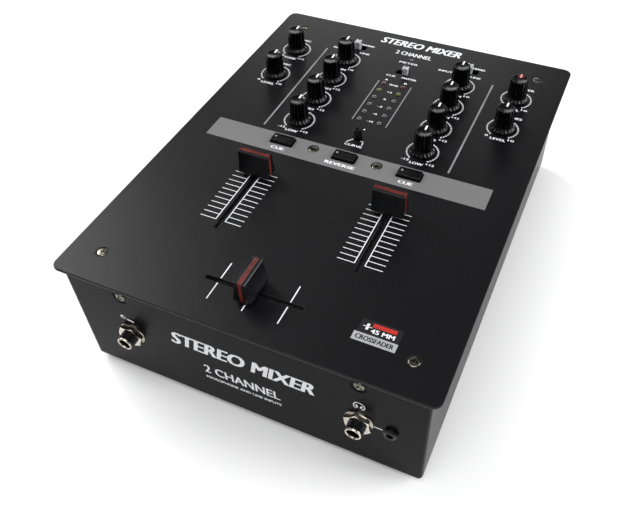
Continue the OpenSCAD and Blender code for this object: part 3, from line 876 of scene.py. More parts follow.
@dataclass
class Panel:
    """The flat top panel with its holes, its front lugs and its screws."""

    bench: Bench
    thickness: float = 1.5
    corner: float = 5.0
    edge: float = 0.5
    lug: tuple[float, float] = (16.0, 14.0)
    lug_x: float = 62.8
    travel: float = 45.0
    slot_width: float = 2.0
    slot_spare: float = 6.6
    parked: float = 2.9
    cross_rest: float = -1.1
    throw: float = 3.6
    key_gap: float = 0.3
    screw_inset: Point = (18.1, 18.3)
    strip_x: float = 19.4

    def slider_holes(self) -> dict[str, Point]:
        """Returns the middle of each slide switch's slot."""
        holes = {}
        for name, (way, _) in LEVERS.items():
            lever = middle(f"{name}_lever")
            holes[name] = (lever.x + way * self.throw / 2, lever.y)
        return holes

    def slot_middle(self, fader: str) -> Vector:
        """Returns the middle of a fader's slot."""
        cap = middle(f"{fader}_cap")
        if fader == "crossfader":
            return Vector((cap.x - self.cross_rest, cap.y, cap.z))
        return Vector((cap.x, cap.y - self.travel / 2 + self.parked, cap.z))

    def screw_places(self) -> list[Point]:
        """Returns the places of the six panel screws."""
        strip = middle("reverse_button").y
        x = high("top_panel").x - self.screw_inset[0]
        corners = [(side * x, y) for side in (-1, 1) for y in (-114.6, 114.8)]
        return corners + [(-self.strip_x, strip), (self.strip_x, strip)]

    def holes(self) -> list[list[Point]]:
        """Returns the outlines of all the panel's holes."""
        holes = [shifted(circle(2.95), x, y) for x, y in self.screw_places()]
        for name in TONE_KNOBS + OUTER_KNOBS:
            knob = middle(f"{name}_knob")
            holes.append(shifted(circle(3.7), knob.x, knob.y))
        curve = middle("curve_knob")
        holes.append(shifted(circle(2.75), curve.x, curve.y))
        for name, (x, y) in self.slider_holes().items():
            depth = (high(f"{name}_lever") - low(f"{name}_lever")).y + 0.6
            holes.append(shifted(rectangle(8.2, depth, 0.5, 3), x, y))
        for key in KEYS:
            size = high(f"{key}_button") - low(f"{key}_button")
            spot = middle(f"{key}_button")
            gap = 2 * self.key_gap
            holes.append(shifted(rectangle(size.x + gap, size.y + gap, 0.6, 3), spot.x, spot.y))
        for x, y in Meter.places():
            holes.append(shifted(circle(Meter.lens_r + 0.1, 24), x, y))
        length = self.travel + self.slot_spare
        for fader in (*CHANNEL_FADERS, "crossfader"):
            spot = self.slot_middle(fader)
            size = (length, self.slot_width) if fader == "crossfader" else (self.slot_width, length)
            holes.append(shifted(rectangle(*size, 0.6, 3), spot.x, spot.y))
        return holes

    def build(self) -> None:
        """Adds the panel, its screws and the dust strips under its slots."""
        size = high("top_panel") - low("top_panel")
        outline = rectangle(size.x, size.y, self.corner, 10)
        under = FACE_Z - self.thickness
        panel = Form().sheet(outline, self.holes(), under, FACE_Z, self.edge)
        lug_y = FRONT_Y + 1.3
        for side in (-1, 1):
            tongue = Form().prism(rectangle(self.lug[0], self.lug[1], 1.5), 0, self.thickness, 0.2, 0.2)
            hole = Form().prism(circle(1.5, 24), -1, self.thickness + 1)
            place = facing_front(side * self.lug_x, lug_y + self.thickness, under - self.lug[1] / 2 + 0.1)
            panel.join(tongue.cut(hole), [place])
        self.bench.add("top_plate", panel, "case", "panel_paint", PANEL_PAINT, ["top_panel"])
        screws = Form().join(CrossScrew().form(), [at(x, y, FACE_Z - 0.25) for x, y in self.screw_places()])
        self.bench.add("plate_screws", screws, "case", "zinc_screw", SCREW_STEEL, ["panel_screws"])
        self.bench.add("dust_strips", self.dust_strips(), "case", "rubber", DUST_FELT)

    def dust_strips(self) -> Form:
        """Returns the pairs of felt strips that close the fader slots round their stems."""
        strips = Form()
        strip = Form().prism(rectangle(3.2, self.travel + 12, 0.5, 2), 0, 0.14)
        height = FACE_Z - self.thickness - 0.17
        for fader in (*CHANNEL_FADERS, "crossfader"):
            spot = self.slot_middle(fader)
            turn = turned("Z", 90 if fader == "crossfader" else 0)
            for side in (-1, 1):
                strips.join(strip, [at(spot.x, spot.y, height) @ turn @ at(side * 2.35, 0, 0)])
        return strips


# ---- Printing ------------------------------------------------------------------


class Print:
    """Printed marks gathered in one thin form, drawn flat and facing up."""

    def __init__(self, thickness: float = 0.05) -> None:
        """Starts a print of that thickness."""
        self.form = Form()
        self.thickness = thickness

    def stroke(self, start: Point, end: Point, width: float) -> None:
        """Draws a straight line between two points."""
        one, two = Vector(start), Vector(end)
        side = (two - one).normalized().orthogonal() * (width / 2)
        corners = [one - side, two - side, two + side, one + side]
        self.form.prism([tuple(corner) for corner in corners], 0, self.thickness)

    def bar(self, x0: float, y0: float, x1: float, y1: float) -> None:
        """Fills a rectangle between two corners."""
        self.form.prism([(x0, y0), (x1, y0), (x1, y1), (x0, y1)], 0, self.thickness)

    def dot(self, x: float, y: float, radius: float) -> None:
        """Fills a small circle."""
        self.form.prism(shifted(circle(radius, 12), x, y), 0, self.thickness)

    def arc(self, centre: Point, radius: float, start: float, end: float, width: float) -> None:
        """Draws an arc.

        Args:
            centre: The arc's centre.
            radius: Its radius.
            start: The angle that it starts at, in degrees from +X.
            end: The angle that it ends at.
            width: The line's width.
        """
        steps = max(4, int(abs(end - start) / 5))
        angles = [math.radians(start + (end - start) * k / steps) for k in range(steps + 1)]
        outer = [(centre[0] + (radius + width / 2) * math.cos(a), centre[1] + (radius + width / 2) * math.sin(a))
                 for a in angles]
        inner = [(centre[0] + (radius - width / 2) * math.cos(a), centre[1] + (radius - width / 2) * math.sin(a))
                 for a in reversed(angles)]
        self.form.prism(outer + inner, 0, self.thickness)

    def word(
        self, text: str, x: float, y: float, height: float, width: float, bold: float = 0.1, slant: float = 0.0
    ) -> None:
        """Writes a word.

        Args:
            text: The letters.
            x: The middle of the word.
            y: The middle of its height.
            height: Its height.
            width: Its width.
            bold: How far the strokes are widened to each side.
            slant: How far the letters lean to the right, for each unit of their height.
        """
        for step, way in enumerate((0, -1, 1)):
            layer = self.thickness * (1 - 0.12 * step)
            letters = lettering(text, height, width - 2 * bold, layer, slant)
            self.form.join(letters, [at(x + way * bold, y, 0)])


@dataclass
class Legend:
    """Everything that is printed on the panel and on the front of the case."""

    bench: Bench
    panel: Panel
    ring: float = 8.85
    line: float = 0.12
    small: float = 1.9
    band_x: float = 83.9
    band_y: Point = (-12.7, 4.0)
    meter_x: float = 0.6

    def build(self) -> None:
        """Adds the prints, one piece for each ink."""
        white = Print()
        self.knob_scales(white)
        self.fader_scales(white)
        self.switch_words(white)
        self.meter_marks(white)
        self.curve_marks(white)
        self.key_words(white)
        self.title(white)
        lift = at(0, 0, FACE_Z)
        self.bench.add("panel_print", white.form.moved(lift), "case", "panel_paint", WHITE_INK)
        self.bench.add("panel_lines", self.lines().form.moved(lift), "case", "panel_paint", LINE_INK)
        self.bench.add("grey_band", self.band().moved(lift), "case", "panel_paint", BAND_INK)
        self.front_print()
        self.label()

    def knob_scales(self, ink: Print) -> None:
        """Draws the ring, the ticks and the words round each rotary control."""
        words = {"low": ("LOW", 7.8), "mid": ("MID", 7.2), "high": ("HIGH", 8.4), "gain": ("GAIN", 8.6),
                 "mic_tone": ("TONE", 8.8)}
        for name in TONE_KNOBS + OUTER_KNOBS:
            spot = middle(f"{name}_knob")
            key = name if name in words else name.split("_")[1]
            word, width = words.get(key, ("LEVEL", 9.2))
            self.ring_scale(ink, spot.x, spot.y)
            ink.word(word, spot.x, spot.y - 10.9, self.small, width)
            ends = (("0", 1.9), ("10", 3.7)) if word in ("LEVEL", "GAIN") else (("-12", 4.7), ("+12", 5.2))
            for (text, width), dx in zip(ends, (-7.1, 7.3)):
                ink.word(text, spot.x + dx, spot.y - 9.4, self.small * 0.85, width)
        heads = {"mic_tone": ("MIC", 5.4), "mic_level": ("MIC", 5.4), "master_level": ("MASTER", 12.6),
                 "phones_level": ("PHONES", 12.6)}
        for name, (text, width) in heads.items():
            spot = middle(f"{name}_knob")
            ink.word(text, spot.x + 2.2, spot.y + 12.3, self.small, width)

    def ring_scale(self, ink: Print, x: float, y: float) -> None:
        """Draws one control's ring of beads, open towards the player."""
        ink.arc((x, y), self.ring, -52, 232, self.line)
        count = 28
        for k in range(count):
            angle = math.radians(-52 + 284 * k / (count - 1))
            spoke = Vector((math.cos(angle), math.sin(angle)))
            start = Vector((x, y)) + spoke * (self.ring + self.line / 2)
            ink.stroke(tuple(start - spoke * 0.4), tuple(start + spoke * 0.55), 0.85)

    def fader_scales(self, ink: Print) -> None:
        """Draws the ladders beside the channel faders and the lines across the crossfader."""
        for fader in CHANNEL_FADERS:
            spot = self.panel.slot_middle(fader)
            start = -72.5
            pitch = 3.7
            rungs = 12
            for side in (-1, 1):
                rail = spot.x + side * 2.75
                ink.stroke((rail, start - 0.2), (rail, start + pitch * (rungs - 1) + 0.2), 0.45)
                for k in range(rungs):
                    y = start + pitch * k
                    ink.stroke((rail + side * 0.22, y), (spot.x + side * 12.0, y), 0.38)
        spot = self.panel.slot_middle("crossfader")
        for x in (-18.6, 18.6):
            ink.stroke((x, spot.y - 11.8), (x, spot.y - 1.5), 0.6)
            ink.stroke((x, spot.y + 1.5), (x, spot.y + 11.8), 0.6)
        ink.stroke((0, spot.y - 11.8), (0, spot.y - 8.3), 0.6)
        ink.stroke((0, spot.y + 8.3), (0, spot.y + 11.8), 0.6)

    def switch_words(self, ink: Print) -> None:
        """Writes the words round the three slide switches."""
        words = (
            ("PHONO", -32.0, 111.2, 9.2), ("LINE", -30.4, 101.3, 6.8), ("INPUT", -48.5, 101.6, 9.0),
            ("PHONO", 44.2, 111.8, 9.2), ("LINE", 45.4, 101.8, 6.6), ("INPUT", 25.4, 101.9, 9.2),
            ("METER", 0.5, 101.4, 12.6), ("CUE", -5.2, 84.1, 6.2), ("MASTER", 7.0, 84.4, 9.8),
        )
        for text, x, y, width in words:
            ink.word(text, x, y, self.small * 0.95, width)
        for x in (0.2, 1.6):
            ink.dot(x, 106.1, 0.3)

    def meter_marks(self, ink: Print) -> None:
        """Writes the level beside each pair of lamps and the letters above them."""
        marks = (("-15", 4.0), ("-6", 2.9), ("-3", 2.9), ("0", 1.6), ("+3", 3.2), ("PEAK", 6.0))
        rows = sorted({y for _, y in Meter.places()})
        for (text, width), y in zip(marks, rows):
            ink.word(text, self.meter_x, y, self.small * 0.8, width)
        for text, way in (("A", -1), ("B", 1)):
            ink.word(text, self.meter_x / 2 + way * Meter.column_x, 78.8, self.small * 0.9, 2.0)

    def curve_marks(self, ink: Print) -> None:
        """Draws the two slopes and the word at the crossfader curve control."""
        spot = middle("curve_knob")
        ink.dot(0.6, spot.y + 8.4, 0.55)
        ink.word("CURVE", 0.3, 9.8, self.small * 0.9, 10.8)
        ink.stroke((-4.9, 11.5), (-1.9, 15.3), 0.5)
        ink.stroke((2.6, 14.9), (4.4, 14.9), 0.4)
        ink.stroke((4.3, 15.0), (4.9, 11.4), 0.5)

    def key_words(self, ink: Print) -> None:
        """Writes the word under each push button."""
        for key, text, width in (("left_cue", "CUE", 8.4), ("reverse", "REVERSE", 18.0), ("right_cue", "CUE", 8.4)):
            ink.word(text, middle(f"{key}_button").x - 0.1, -8.8, 2.3, width, 0.2)

    def title(self, ink: Print) -> None:
        """Writes a plain title at the back of the panel."""
        ink.word("STEREO MIXER", 1.5, 122.9, 6.8, 56, 0.36, 0.22)
        ink.word("2 CHANNEL", 0.3, 111.9, 4.1, 24.6, 0.12)

    def lines(self) -> Print:
        """Returns the grey rules between the groups of controls."""
        ink = Print(0.04)
        for x in (-56.3, 57.6):
            ink.stroke((x, 7.8), (x, 98.3), 1.05)
        for side in (-1, 1):
            x = self.meter_x + side * 10.8
            ink.stroke((x, 32.5), (x, 76.3), 0.65)
        return ink

    def band(self) -> Form:
        """Returns the grey band with openings for its buttons and screws."""
        y0, y1 = self.band_y
        outline = [(-self.band_x, y0), (self.band_x, y0), (self.band_x, y1), (-self.band_x, y1)]
        holes = []
        for key in KEYS:
            size = high(f"{key}_button") - low(f"{key}_button")
            spot = middle(f"{key}_button")
            holes.append(shifted(rectangle(size.x + 1.5, size.y + 1.5, 0.8, 3), spot.x, spot.y))
        for x, y in self.panel.screw_places()[-2:]:
            holes.append(shifted(circle(3.35, 32), x, y))
        return Form().sheet(outline, holes, 0, 0.025, 0.004)

    def front_print(self) -> None:
        """Adds the words and signs on the front of the case."""
        ink = Print()
        ink.word("STEREO MIXER", 1.2, -27, 9.6, 78.5, 0.55, 0.24)
        ink.word("2 CHANNEL", -0.2, -45.2, 6.6, 43, 0.2)
        ink.word("MICROPHONE AND LINE INPUTS", 0, -52.7, 2.0, 43, 0.1)
        ink.dot(-66.0, -25.9, 1.3)
        ink.stroke((-66.0, -25.9), (-64.4, -26.6), 1.5)
        ink.stroke((-63.6, -26.9), (-59.6, -27.6), 1.0)
        ink.arc((62.9, -25.6), 2.75, -60, 240, 0.5)
        for side in (-1, 1):
            ink.stroke((62.9 + side * 1.35, -25.0), (62.9 + side * 0.85, -27.0), 0.95)
        ink.stroke((70.5, -38.6), (74.6, -38.6), 0.7)
        wall = facing_front(0, FRONT_Y, FACE_Z)
        self.bench.add("front_print", ink.form.moved(wall), "case", "case_paint", WHITE_INK)

    def label(self) -> None:
        """Adds the small two-part label near the right front corner."""
        x0, x1 = 51.8, 72.7
        y0, fold, y1 = -114.0, -109.2, -101.4
        lift = at(0, 0, FACE_Z)
        dark = Print(0.06)
        dark.bar(x0 + 1.0, fold, x1, y1)
        self.bench.add("label_film", dark.form.moved(lift), "case", "panel_paint", BLACK_INK)
        silver = Print(0.06)
        silver.bar(x0, y0, x1, fold - 0.1)
        self.bench.add("label_foil", silver.form.moved(lift), "case", "panel_paint", SILVER_FILM)
        lift = at(0, 0, FACE_Z + 0.06)
        red = Print(0.02)
        red.bar(x1 - 14.0, y1 - 3.4, x1 - 2.6, y1 - 1.2)
        self.bench.add("label_red_bar", red.form.moved(lift), "case", "panel_paint", RED_INK)
        white = Print(0.02)
        white.word("45 MM", x1 - 8.3, y1 - 5.4, 2.4, 11.4, 0.12)
        white.stroke((x0 + 2.6, (fold + y1) / 2), (x0 + 7.0, (fold + y1) / 2), 0.3)
        white.bar(x0 + 4.2, fold + 2.2, x0 + 5.4, y1 - 2.2)
        self.bench.add("label_white_marks", white.form.moved(lift), "case", "panel_paint", WHITE_INK)
        black = Print(0.02)
        black.word("CROSSFADER", (x0 + x1) / 2, (y0 + fold) / 2, 2.5, 18.2, 0.14)
        self.bench.add("label_black_words", black.form.moved(lift), "case", "panel_paint", BLACK_INK)


# ---- Case ----------------------------------------------------------------------


@dataclass
class Case:
    """The folded steel case with its feet and screws."""

    bench: Bench
    sheet: float = 1.2
    corner: float = 2.5
    fold: float = 1.4
    socket_x: float = 63.0
    mini_x: float = 78.8
    lug_x: float = 62.8
    lug_z: float = 67.4
    dish: Point = (4.7, 3.3)

    def tub(self) -> Form:
        """Returns the tub: floor, front and side walls, open at the top and the back."""
        bottom, top = low("lower_chassis").z, high("lower_chassis").z
        width = high("lower_chassis").x - low("lower_chassis").x
        depth = REAR_Y - FRONT_Y
        centre_y = (FRONT_Y + REAR_Y) / 2
        outer = shifted(rectangle(width, depth, self.corner, 6), 0, centre_y)
        inner = shifted(rectangle(width - 2 * self.sheet, depth - 2 * self.sheet, self.corner - self.sheet, 6), 0, centre_y)
        tub = Form().prism(outer, bottom, top, 0.25, self.fold, 4)
        tub.cut(Form().prism(inner, bottom + self.sheet, top + 5))
        back = Form().prism(rectangle(width - 2 * self.sheet, 12), bottom + self.sheet, top + 5)
        tub.cut(back.moved(at(0, REAR_Y, 0)))
        return tub.cut(self.front_holes())

    def front_holes(self) -> Form:
        """Returns the cutters for the holes and dishes in the front wall."""
        cutters = Form()
        socket_z = middle("socket_nuts").z
        bore = Form().prism(circle(4.65, 40), -6, 6)
        cutters.join(bore, [facing_front(side * self.socket_x, FRONT_Y, socket_z) for side in (-1, 1)])
        small = Form().prism(circle(3.2, 32), -6, 6)
        cutters.join(small, [facing_front(self.mini_x, FRONT_Y, socket_z)])
        outer, inner = self.dish
        dish = Form().lathe([(inner, -0.5), (inner + 0.4, -0.45), (outer - 0.3, -0.08), (outer + 0.1, 0.4)], 40)
        cutters.join(dish, [facing_front(side * self.lug_x, FRONT_Y, self.lug_z) for side in (-1, 1)])
        shank = Form().prism(circle(1.6, 24), -6, 0)
        return cutters.join(shank, [facing_front(side * self.lug_x, FRONT_Y, self.lug_z) for side in (-1, 1)])

    def returns(self) -> Form:
        """Returns the flanges at the back, the tabs under the panel and the board bosses."""
        parts = Form()
        wall = high("lower_chassis").x
        bottom, top = low("lower_chassis").z, high("lower_chassis").z
        flange = Form().prism(rectangle(12.2, self.sheet, 0.3, 2), bottom + self.sheet, top - 0.6, 0.2)
        flange_y = REAR_Y - 1.5 * self.sheet - 0.1
        parts.join(flange, [at(side * (wall - self.sheet - 6), flange_y, 0) for side in (-1, 1)])
        tab = Form().prism(rectangle(17.6, 15, 1.5), top - self.sheet, top - 0.02, 0.2, 0.2)
        for side in (-1, 1):
            parts.join(tab, [at(side * (wall - self.sheet - 8.9), y, 0) for y in (-114.6, 114.8)])
        boss = Form().lathe([(1.2, bottom + 1), (3.2, bottom + 1), (3.2, 10.7), (1.2, 10.7)], 32, hollow=True)
        return parts.join(boss, [at(x, y, 0) for x in (-70, 70) for y in (23, 103)])

    def build(self) -> None:
        """Adds the tub, the feet and the case screws."""
        tub = self.tub().join(self.returns())
        self.bench.add("case_shell", tub, "case", "case_paint", CASE_PAINT, ["lower_chassis"])
        self.bench.dress(CASE_PAINT, "rear_panel")
        foot = Form().lathe(
            [(3.3, 0.0), (6.0, 0.0), (6.35, 0.25), (6.95, 2.6), (7.0, 3.45), (1.6, 3.45), (1.6, 1.0), (3.1, 1.0)],
            48, hollow=True,
        )
        reach = high("rubber_feet").x - 7
        places = [at(x, y, 0) for x in (-reach, reach) for y in (-112, 112)]
        self.bench.add("feet", Form().join(foot, places), "case", "rubber", FOOT_RUBBER, ["rubber_feet"])
        screws = Form().join(
            CrossScrew(pan=0.9).form(),
            [facing_front(side * self.lug_x, FRONT_Y + 0.5, self.lug_z) for side in (-1, 1)],
        )
        flat = CrossScrew().form()
        rear = [facing_back(side * 88.6, REAR_Y - 0.2, z) for side in (-1, 1) for z in (12.5, 66.3)]
        screws.join(flat, rear)
        screws.join(flat, [place @ at(0, 0, 1.0) @ turned("X", 180) for place in places])
        self.bench.add("shell_screws", screws, "case", "zinc_screw", SCREW_STEEL, ["case_screws"])


# ---- Rotary controls -----------------------------------------------------------


@dataclass
class Knobs:
    """The twelve fluted knobs on their shafts."""

    bench: Bench
    height: float = 14.7
    lift: float = 0.6
    skirt: float = 7.0
    grip: float = 5.8
    crown: float = 5.2
    flutes: int = 16
    chords: int = 10
    flute_depth: float = 0.9

    def section(self, radius: float, z: float, depth: float) -> list[Vector]:
        """Returns a ring whose flutes have that depth."""
        count = self.flutes * self.chords
        ring = []
        for k in range(count):
            angle = math.tau * k / count
            valley = max(0.0, math.cos(self.flutes * (angle - math.pi / 2) + math.pi) + 0.15) / 1.15
            r = radius - depth * valley
            ring.append(Vector((r * math.cos(angle), r * math.sin(angle), z)))
        return ring

    def form(self) -> Form:
        """Returns a knob round the origin, standing on the panel's face at height 0."""
        depth = self.flute_depth
        skirt = self.skirt
        rings = [(skirt - 0.5, 0.6, 0), (skirt - 0.12, 0.7, 0), (skirt, 0.95, 0), (skirt, 1.35, 0.05),
                 (skirt - 0.06, 1.55, 0.4), (skirt - 0.4, 2.05, 0.5), (skirt - 0.8, 2.5, 0.55),
                 (self.grip + 0.16, 2.8, 0.6), (self.grip + 0.02, 3.1, 0.7), (self.grip - 0.02, 3.3, depth)]
        side_steps = 5
        top = self.height - 0.35
        for k in range(side_steps + 1):
            share = k / side_steps
            rings.append((self.grip + (self.crown - self.grip) * share - 0.03, 3.5 + (top - 3.5) * share, depth))
        for turn in (30, 60, 90):
            angle = math.radians(turn)
            drop = 0.3 * (1 - math.cos(angle))
            rings.append((self.crown - drop, top + 0.3 * math.sin(angle), depth * (1 - 0.1 * turn / 90)))
        rings += [(self.crown - 1.05, self.height - 0.05, 0.03), (self.crown - 1.3, self.height - 0.3, 0),
                  (1.0, self.height - 0.3, 0)]
        return Form().loft([self.section(r, z, d) for r, z, d in rings])

    def pointer(self) -> Form:
        """Returns the raised white line on a knob's top."""
        start, end = 1.5, self.crown - 0.02
        line = rectangle(0.95, end - start, 0.15, 2)
        return Form().prism(shifted(line, 0, (start + end) / 2), self.height - 0.5, self.height + 0.06, 0.06)

    def build(self) -> None:
        """Adds the knobs and their pointers, and dresses the shafts."""
        for name in TONE_KNOBS + OUTER_KNOBS:
            spot = middle(f"{name}_knob")
            place = at(spot.x, spot.y, FACE_Z)
            body = f"{name}_control"
            self.bench.add(
                f"{name}_grip", self.form().moved(place), body, "knob_plastic", KNOB_PLASTIC, [f"{name}_knob"], 50
            )
            ink = PINK_INK if name == "master_level" else POINTER_INK
            self.bench.add(f"{name}_pointer", self.pointer().moved(place), body, "knob_plastic", ink)
            self.bench.dress(ALUMINIUM, f"{name}_shaft")
        spot = middle("master_level_knob")
        wedge = Form().prism(rectangle(3.4, 3.0, 0.3, 2), self.height - 0.45, self.height - 0.02, 0.05)
        wedge.moved(at(spot.x, spot.y + self.crown - 2.35, FACE_Z))
        self.bench.add("master_level_patch", wedge, "master_level_control", "knob_plastic", PATCH_INK)


@dataclass
class CurveControl:
    """The small slotted spindle that sets the crossfader's curve."""

    bench: Bench
    radius: float = 2.35
    ribs: int = 18

    def build(self) -> None:
        """Adds the spindle."""
        spot = middle("curve_knob")
        top = high("curve_knob").z
        foot = low("curve_knob").z
        count = self.ribs * 4
        levels = ((2.2, foot, 0), (2.35, foot + 0.2, 0), (2.35, FACE_Z + 0.6, 0), (2.35, FACE_Z + 0.9, 0.16),
                  (2.35, top - 0.5, 0.16), (2.2, top - 0.15, 0.12), (1.9, top, 0.0))
        rings = []
        for radius, z, depth in levels:
            ring = []
            for k in range(count):
                angle = math.tau * k / count
                r = radius - depth * (1 + math.cos(self.ribs * angle)) / 2
                ring.append(Vector((r * math.cos(angle), r * math.sin(angle), z)))
            rings.append(ring)
        slot = Form().prism(rectangle(0.7, 6), top - 1.0, top + 1)
        spindle = Form().loft(rings).cut(slot).moved(at(spot.x, spot.y, 0))
        self.bench.add("curve_spindle", spindle, "curve_control", "knob_plastic", KNOB_PLASTIC, ["curve_knob"])


# ---- Faders --------------------------------------------------------------------


@dataclass
class FaderCap:
    """A fader's cap: two black halves with a red layer between them."""

    length: float = 17.6
    foot: float = 4.65
    crest: float = 3.0
    base: float = 1.8
    top: float = 15.0
    layer: float = 1.0
    gap: float = 0.12
    hollow: float = 0.3
    chamfer: float = 0.28

    def half(self) -> Form:
        """Returns the half behind the red layer, its length along X."""
        height = self.top - self.base - 0.8
        flank = []
        steps = 12
        for k in range(steps + 1):
            share = k / steps
            y = self.foot + (self.crest - self.foot) * share - self.hollow * math.sin(math.pi * share)
            flank.append((y, self.base + 0.8 + (height - self.chamfer) * share))
        inner = self.layer + self.gap
        outline = [(self.layer - 0.1, self.base), (self.foot, self.base), *flank,
                   (self.crest - self.chamfer, self.top), (inner + 0.1, self.top), (inner, self.top - 0.1),
                   (inner, self.top - 0.5), (self.layer - 0.1, self.top - 0.6)]
        lying = turned("Z", 90) @ turned("X", 90) @ at(0, 0, -self.length / 2)
        return Form().prism(outline, 0, self.length, 0.3, 0.3).moved(lying)

    def halves(self) -> Form:
        """Returns both black halves."""
        half = self.half()
        return Form().join(half, [Matrix.Identity(4), turned("Z", 180)])

    def middle_layer(self) -> Form:
        """Returns the red layer, with a groove along its crest."""
        crest = self.top - 0.02
        edge = self.layer - 0.12
        outline = [(-self.layer, self.base), (self.layer, self.base), (self.layer, crest - 0.14), (edge, crest),
                   (0.32, crest), (0.12, crest - 0.3), (-0.12, crest - 0.3), (-0.32, crest), (-edge, crest),
                   (-self.layer, crest - 0.14)]
        length = self.length - 0.1
        lying = turned("Z", 90) @ turned("X", 90) @ at(0, 0, -length / 2)
        return Form().prism(outline, 0, length, 0.15, 0.15).moved(lying)


@dataclass
class Faders:
    """The three slide faders."""

    bench: Bench
    cap: FaderCap = field(default_factory=FaderCap)

    def build(self) -> None:
        """Adds the caps, and dresses the works below them."""
        for fader in (*CHANNEL_FADERS, "crossfader"):
            spot = middle(f"{fader}_cap")
            turn = turned("Z", -90 if fader == "crossfader" else 0)
            place = at(spot.x, spot.y, FACE_Z) @ turn
            self.bench.add(
                f"{fader}_cap_halves", self.cap.halves().moved(place), fader, "cap_plastic", CAP_PLASTIC,
                [f"{fader}_cap"],
            )
            self.bench.add(
                f"{fader}_cap_layer", self.cap.middle_layer().moved(place), fader, "cap_plastic", RED_PLASTIC
            )
            self.bench.dress(GREY_PLASTIC, f"{fader}_carriage")
        self.bench.dress(SHEET_STEEL, "fader_frames")
        self.bench.dress(ALUMINIUM, "fader_rails")


# ---- Buttons, switches and lamps -----------------------------------------------


@dataclass
class Keys:
    """The three push buttons in the grey band."""

    bench: Bench
    window: Point = (-4.7, 0.7)

    def build(self) -> None:
        """Adds the buttons and their windows."""
        for key, body in KEYS.items():
            node = f"{key}_button"
            size = high(node) - low(node)
            spot = middle(node)
            top = high(node).z
            foot = FACE_Z - 4.0
            cap = Form().prism(rectangle(size.x, size.y, 0.5, 4), foot, top, 0.4, 0.2, 4)
            cap.cut(Form().prism(rectangle(size.x - 2.2, size.y - 2.0, 0.4, 3), top - 0.25, top + 1))
            post = Form().lathe([(1.5, low(node).z), (1.5, foot + 0.5)], 24)
            self.bench.add(
                f"{key}_key_cap", cap.join(post).moved(at(spot.x, spot.y, 0)), body, "button_plastic",
                BUTTON_PLASTIC, [node],
            )
            window = Form().lathe([(0.7, top - 0.8), (0.7, top - 0.12), (0.5, top - 0.02), (0.1, top)], 24)
            window.moved(at(spot.x + self.window[0], spot.y + self.window[1], 0))
            self.bench.add(f"{key}_key_window", window, body, "lamp_lens", WINDOW_LENS)


@dataclass
class Levers:
    """The silver levers of the three slide switches."""

    bench: Bench
    width: float = 3.8
    groove: Point = (1.3, 0.8)

    def section(self, depth: float, scale: float) -> list[Point]:
        """Returns the lever's outline, of that depth, with a groove down its front and back."""
        x, y = self.width / 2 * scale, depth / 2 * scale
        gx, gy = self.groove[0] / 2, self.groove[1]
        half = [(-x, -y), (-gx, -y), (-gx * 0.7, -y + gy), (gx * 0.7, -y + gy), (gx, -y), (x, -y)]
        corners = half + [(-px, -py) for px, py in half]
        return fillet(corners, 0.18, 3)

    def build(self) -> None:
        """Adds the levers."""
        for name, (_, body) in LEVERS.items():
            node = f"{name}_lever"
            spot = middle(node)
            foot, top = low(node).z, high(node).z
            depth = (high(node) - low(node)).y
            levels = ((foot, 0.9), (FACE_Z, 0.88), (FACE_Z + 1.2, 0.86), (FACE_Z + 2.2, 0.9), (top - 0.9, 1.0),
                      (top - 0.4, 1.0), (top - 0.12, 0.95), (top, 0.84))
            rings = [[Vector((x, y, z)) for x, y in self.section(depth, scale)] for z, scale in levels]
            lever = Form().loft(rings).moved(at(spot.x, spot.y, 0))
            self.bench.add(f"{name}_tab", lever, body, "lever_silver", LEVER_SILVER, [node])


@dataclass
class Meter:
    """The two columns of meter lamps."""

    bench: Bench
    lens_r = 1.5
    column_x = 6.4
    rows = 6

    @staticmethod
    def places() -> list[Point]:
        """Returns the place of each lamp, row by row."""
        foot = low("meter_lamps").y + Meter.lens_r + 0.3
        pitch = (high("meter_lamps").y - low("meter_lamps").y - 2 * (Meter.lens_r + 0.3)) / (Meter.rows - 1)
        return [(side * Meter.column_x, foot + pitch * row) for row in range(Meter.rows) for side in (-1, 1)]

    def build(self) -> None:
        """Adds the lenses, one piece for each colour, and a pale bead round each lens edge whose lighter colour is a
        painted highlight.
        """
        steps = 5
        inner = self.lens_r - 0.2
        dome = [(inner * math.cos(math.pi / 2 * k / steps), 0.45 * math.sin(math.pi / 2 * k / steps))
                for k in range(steps)]
        lens = [(1.8, -6.0), (1.8, -5.0), (self.lens_r, -5.0), (self.lens_r, 0.0), *dome, (0.2, 0.45)]
        # The rim bead takes a lighter shade of its lens: a painted highlight round the lens edge.
        rim = [(1.2, 0.05), (1.48, 0.05), (1.5, 0.2), (1.42, 0.32), (1.26, 0.36), (1.18, 0.3)]
        groups = (
            ("clear", CLEAR_LENS, CLEAR_RIM_HIGHLIGHT, 0, 8),
            ("green", GREEN_LENS, GREEN_RIM_HIGHLIGHT, 8, 10),
            ("red", RED_LENS, RED_RIM_HIGHLIGHT, 10, 12),
        )
        places = self.places()
        for name, finish, rim_highlight_finish, start, end in groups:
            spots = [at(x, y, FACE_Z) for x, y in places[start:end]]
            form = Form().join(Form().lathe(lens, 32), spots)
            stands_for = ["meter_lamps"] if start == 0 else []
            self.bench.add(f"{name}_lamps", form, "case", "lamp_lens", finish, stands_for)
            highlight_rims = Form().join(Form().lathe(rim, 32, hollow=True), spots)
            self.bench.add(f"{name}_lamp_rim_highlights", highlight_rims, "case", "lamp_lens", rim_highlight_finish)


# ---- Sockets -------------------------------------------------------------------


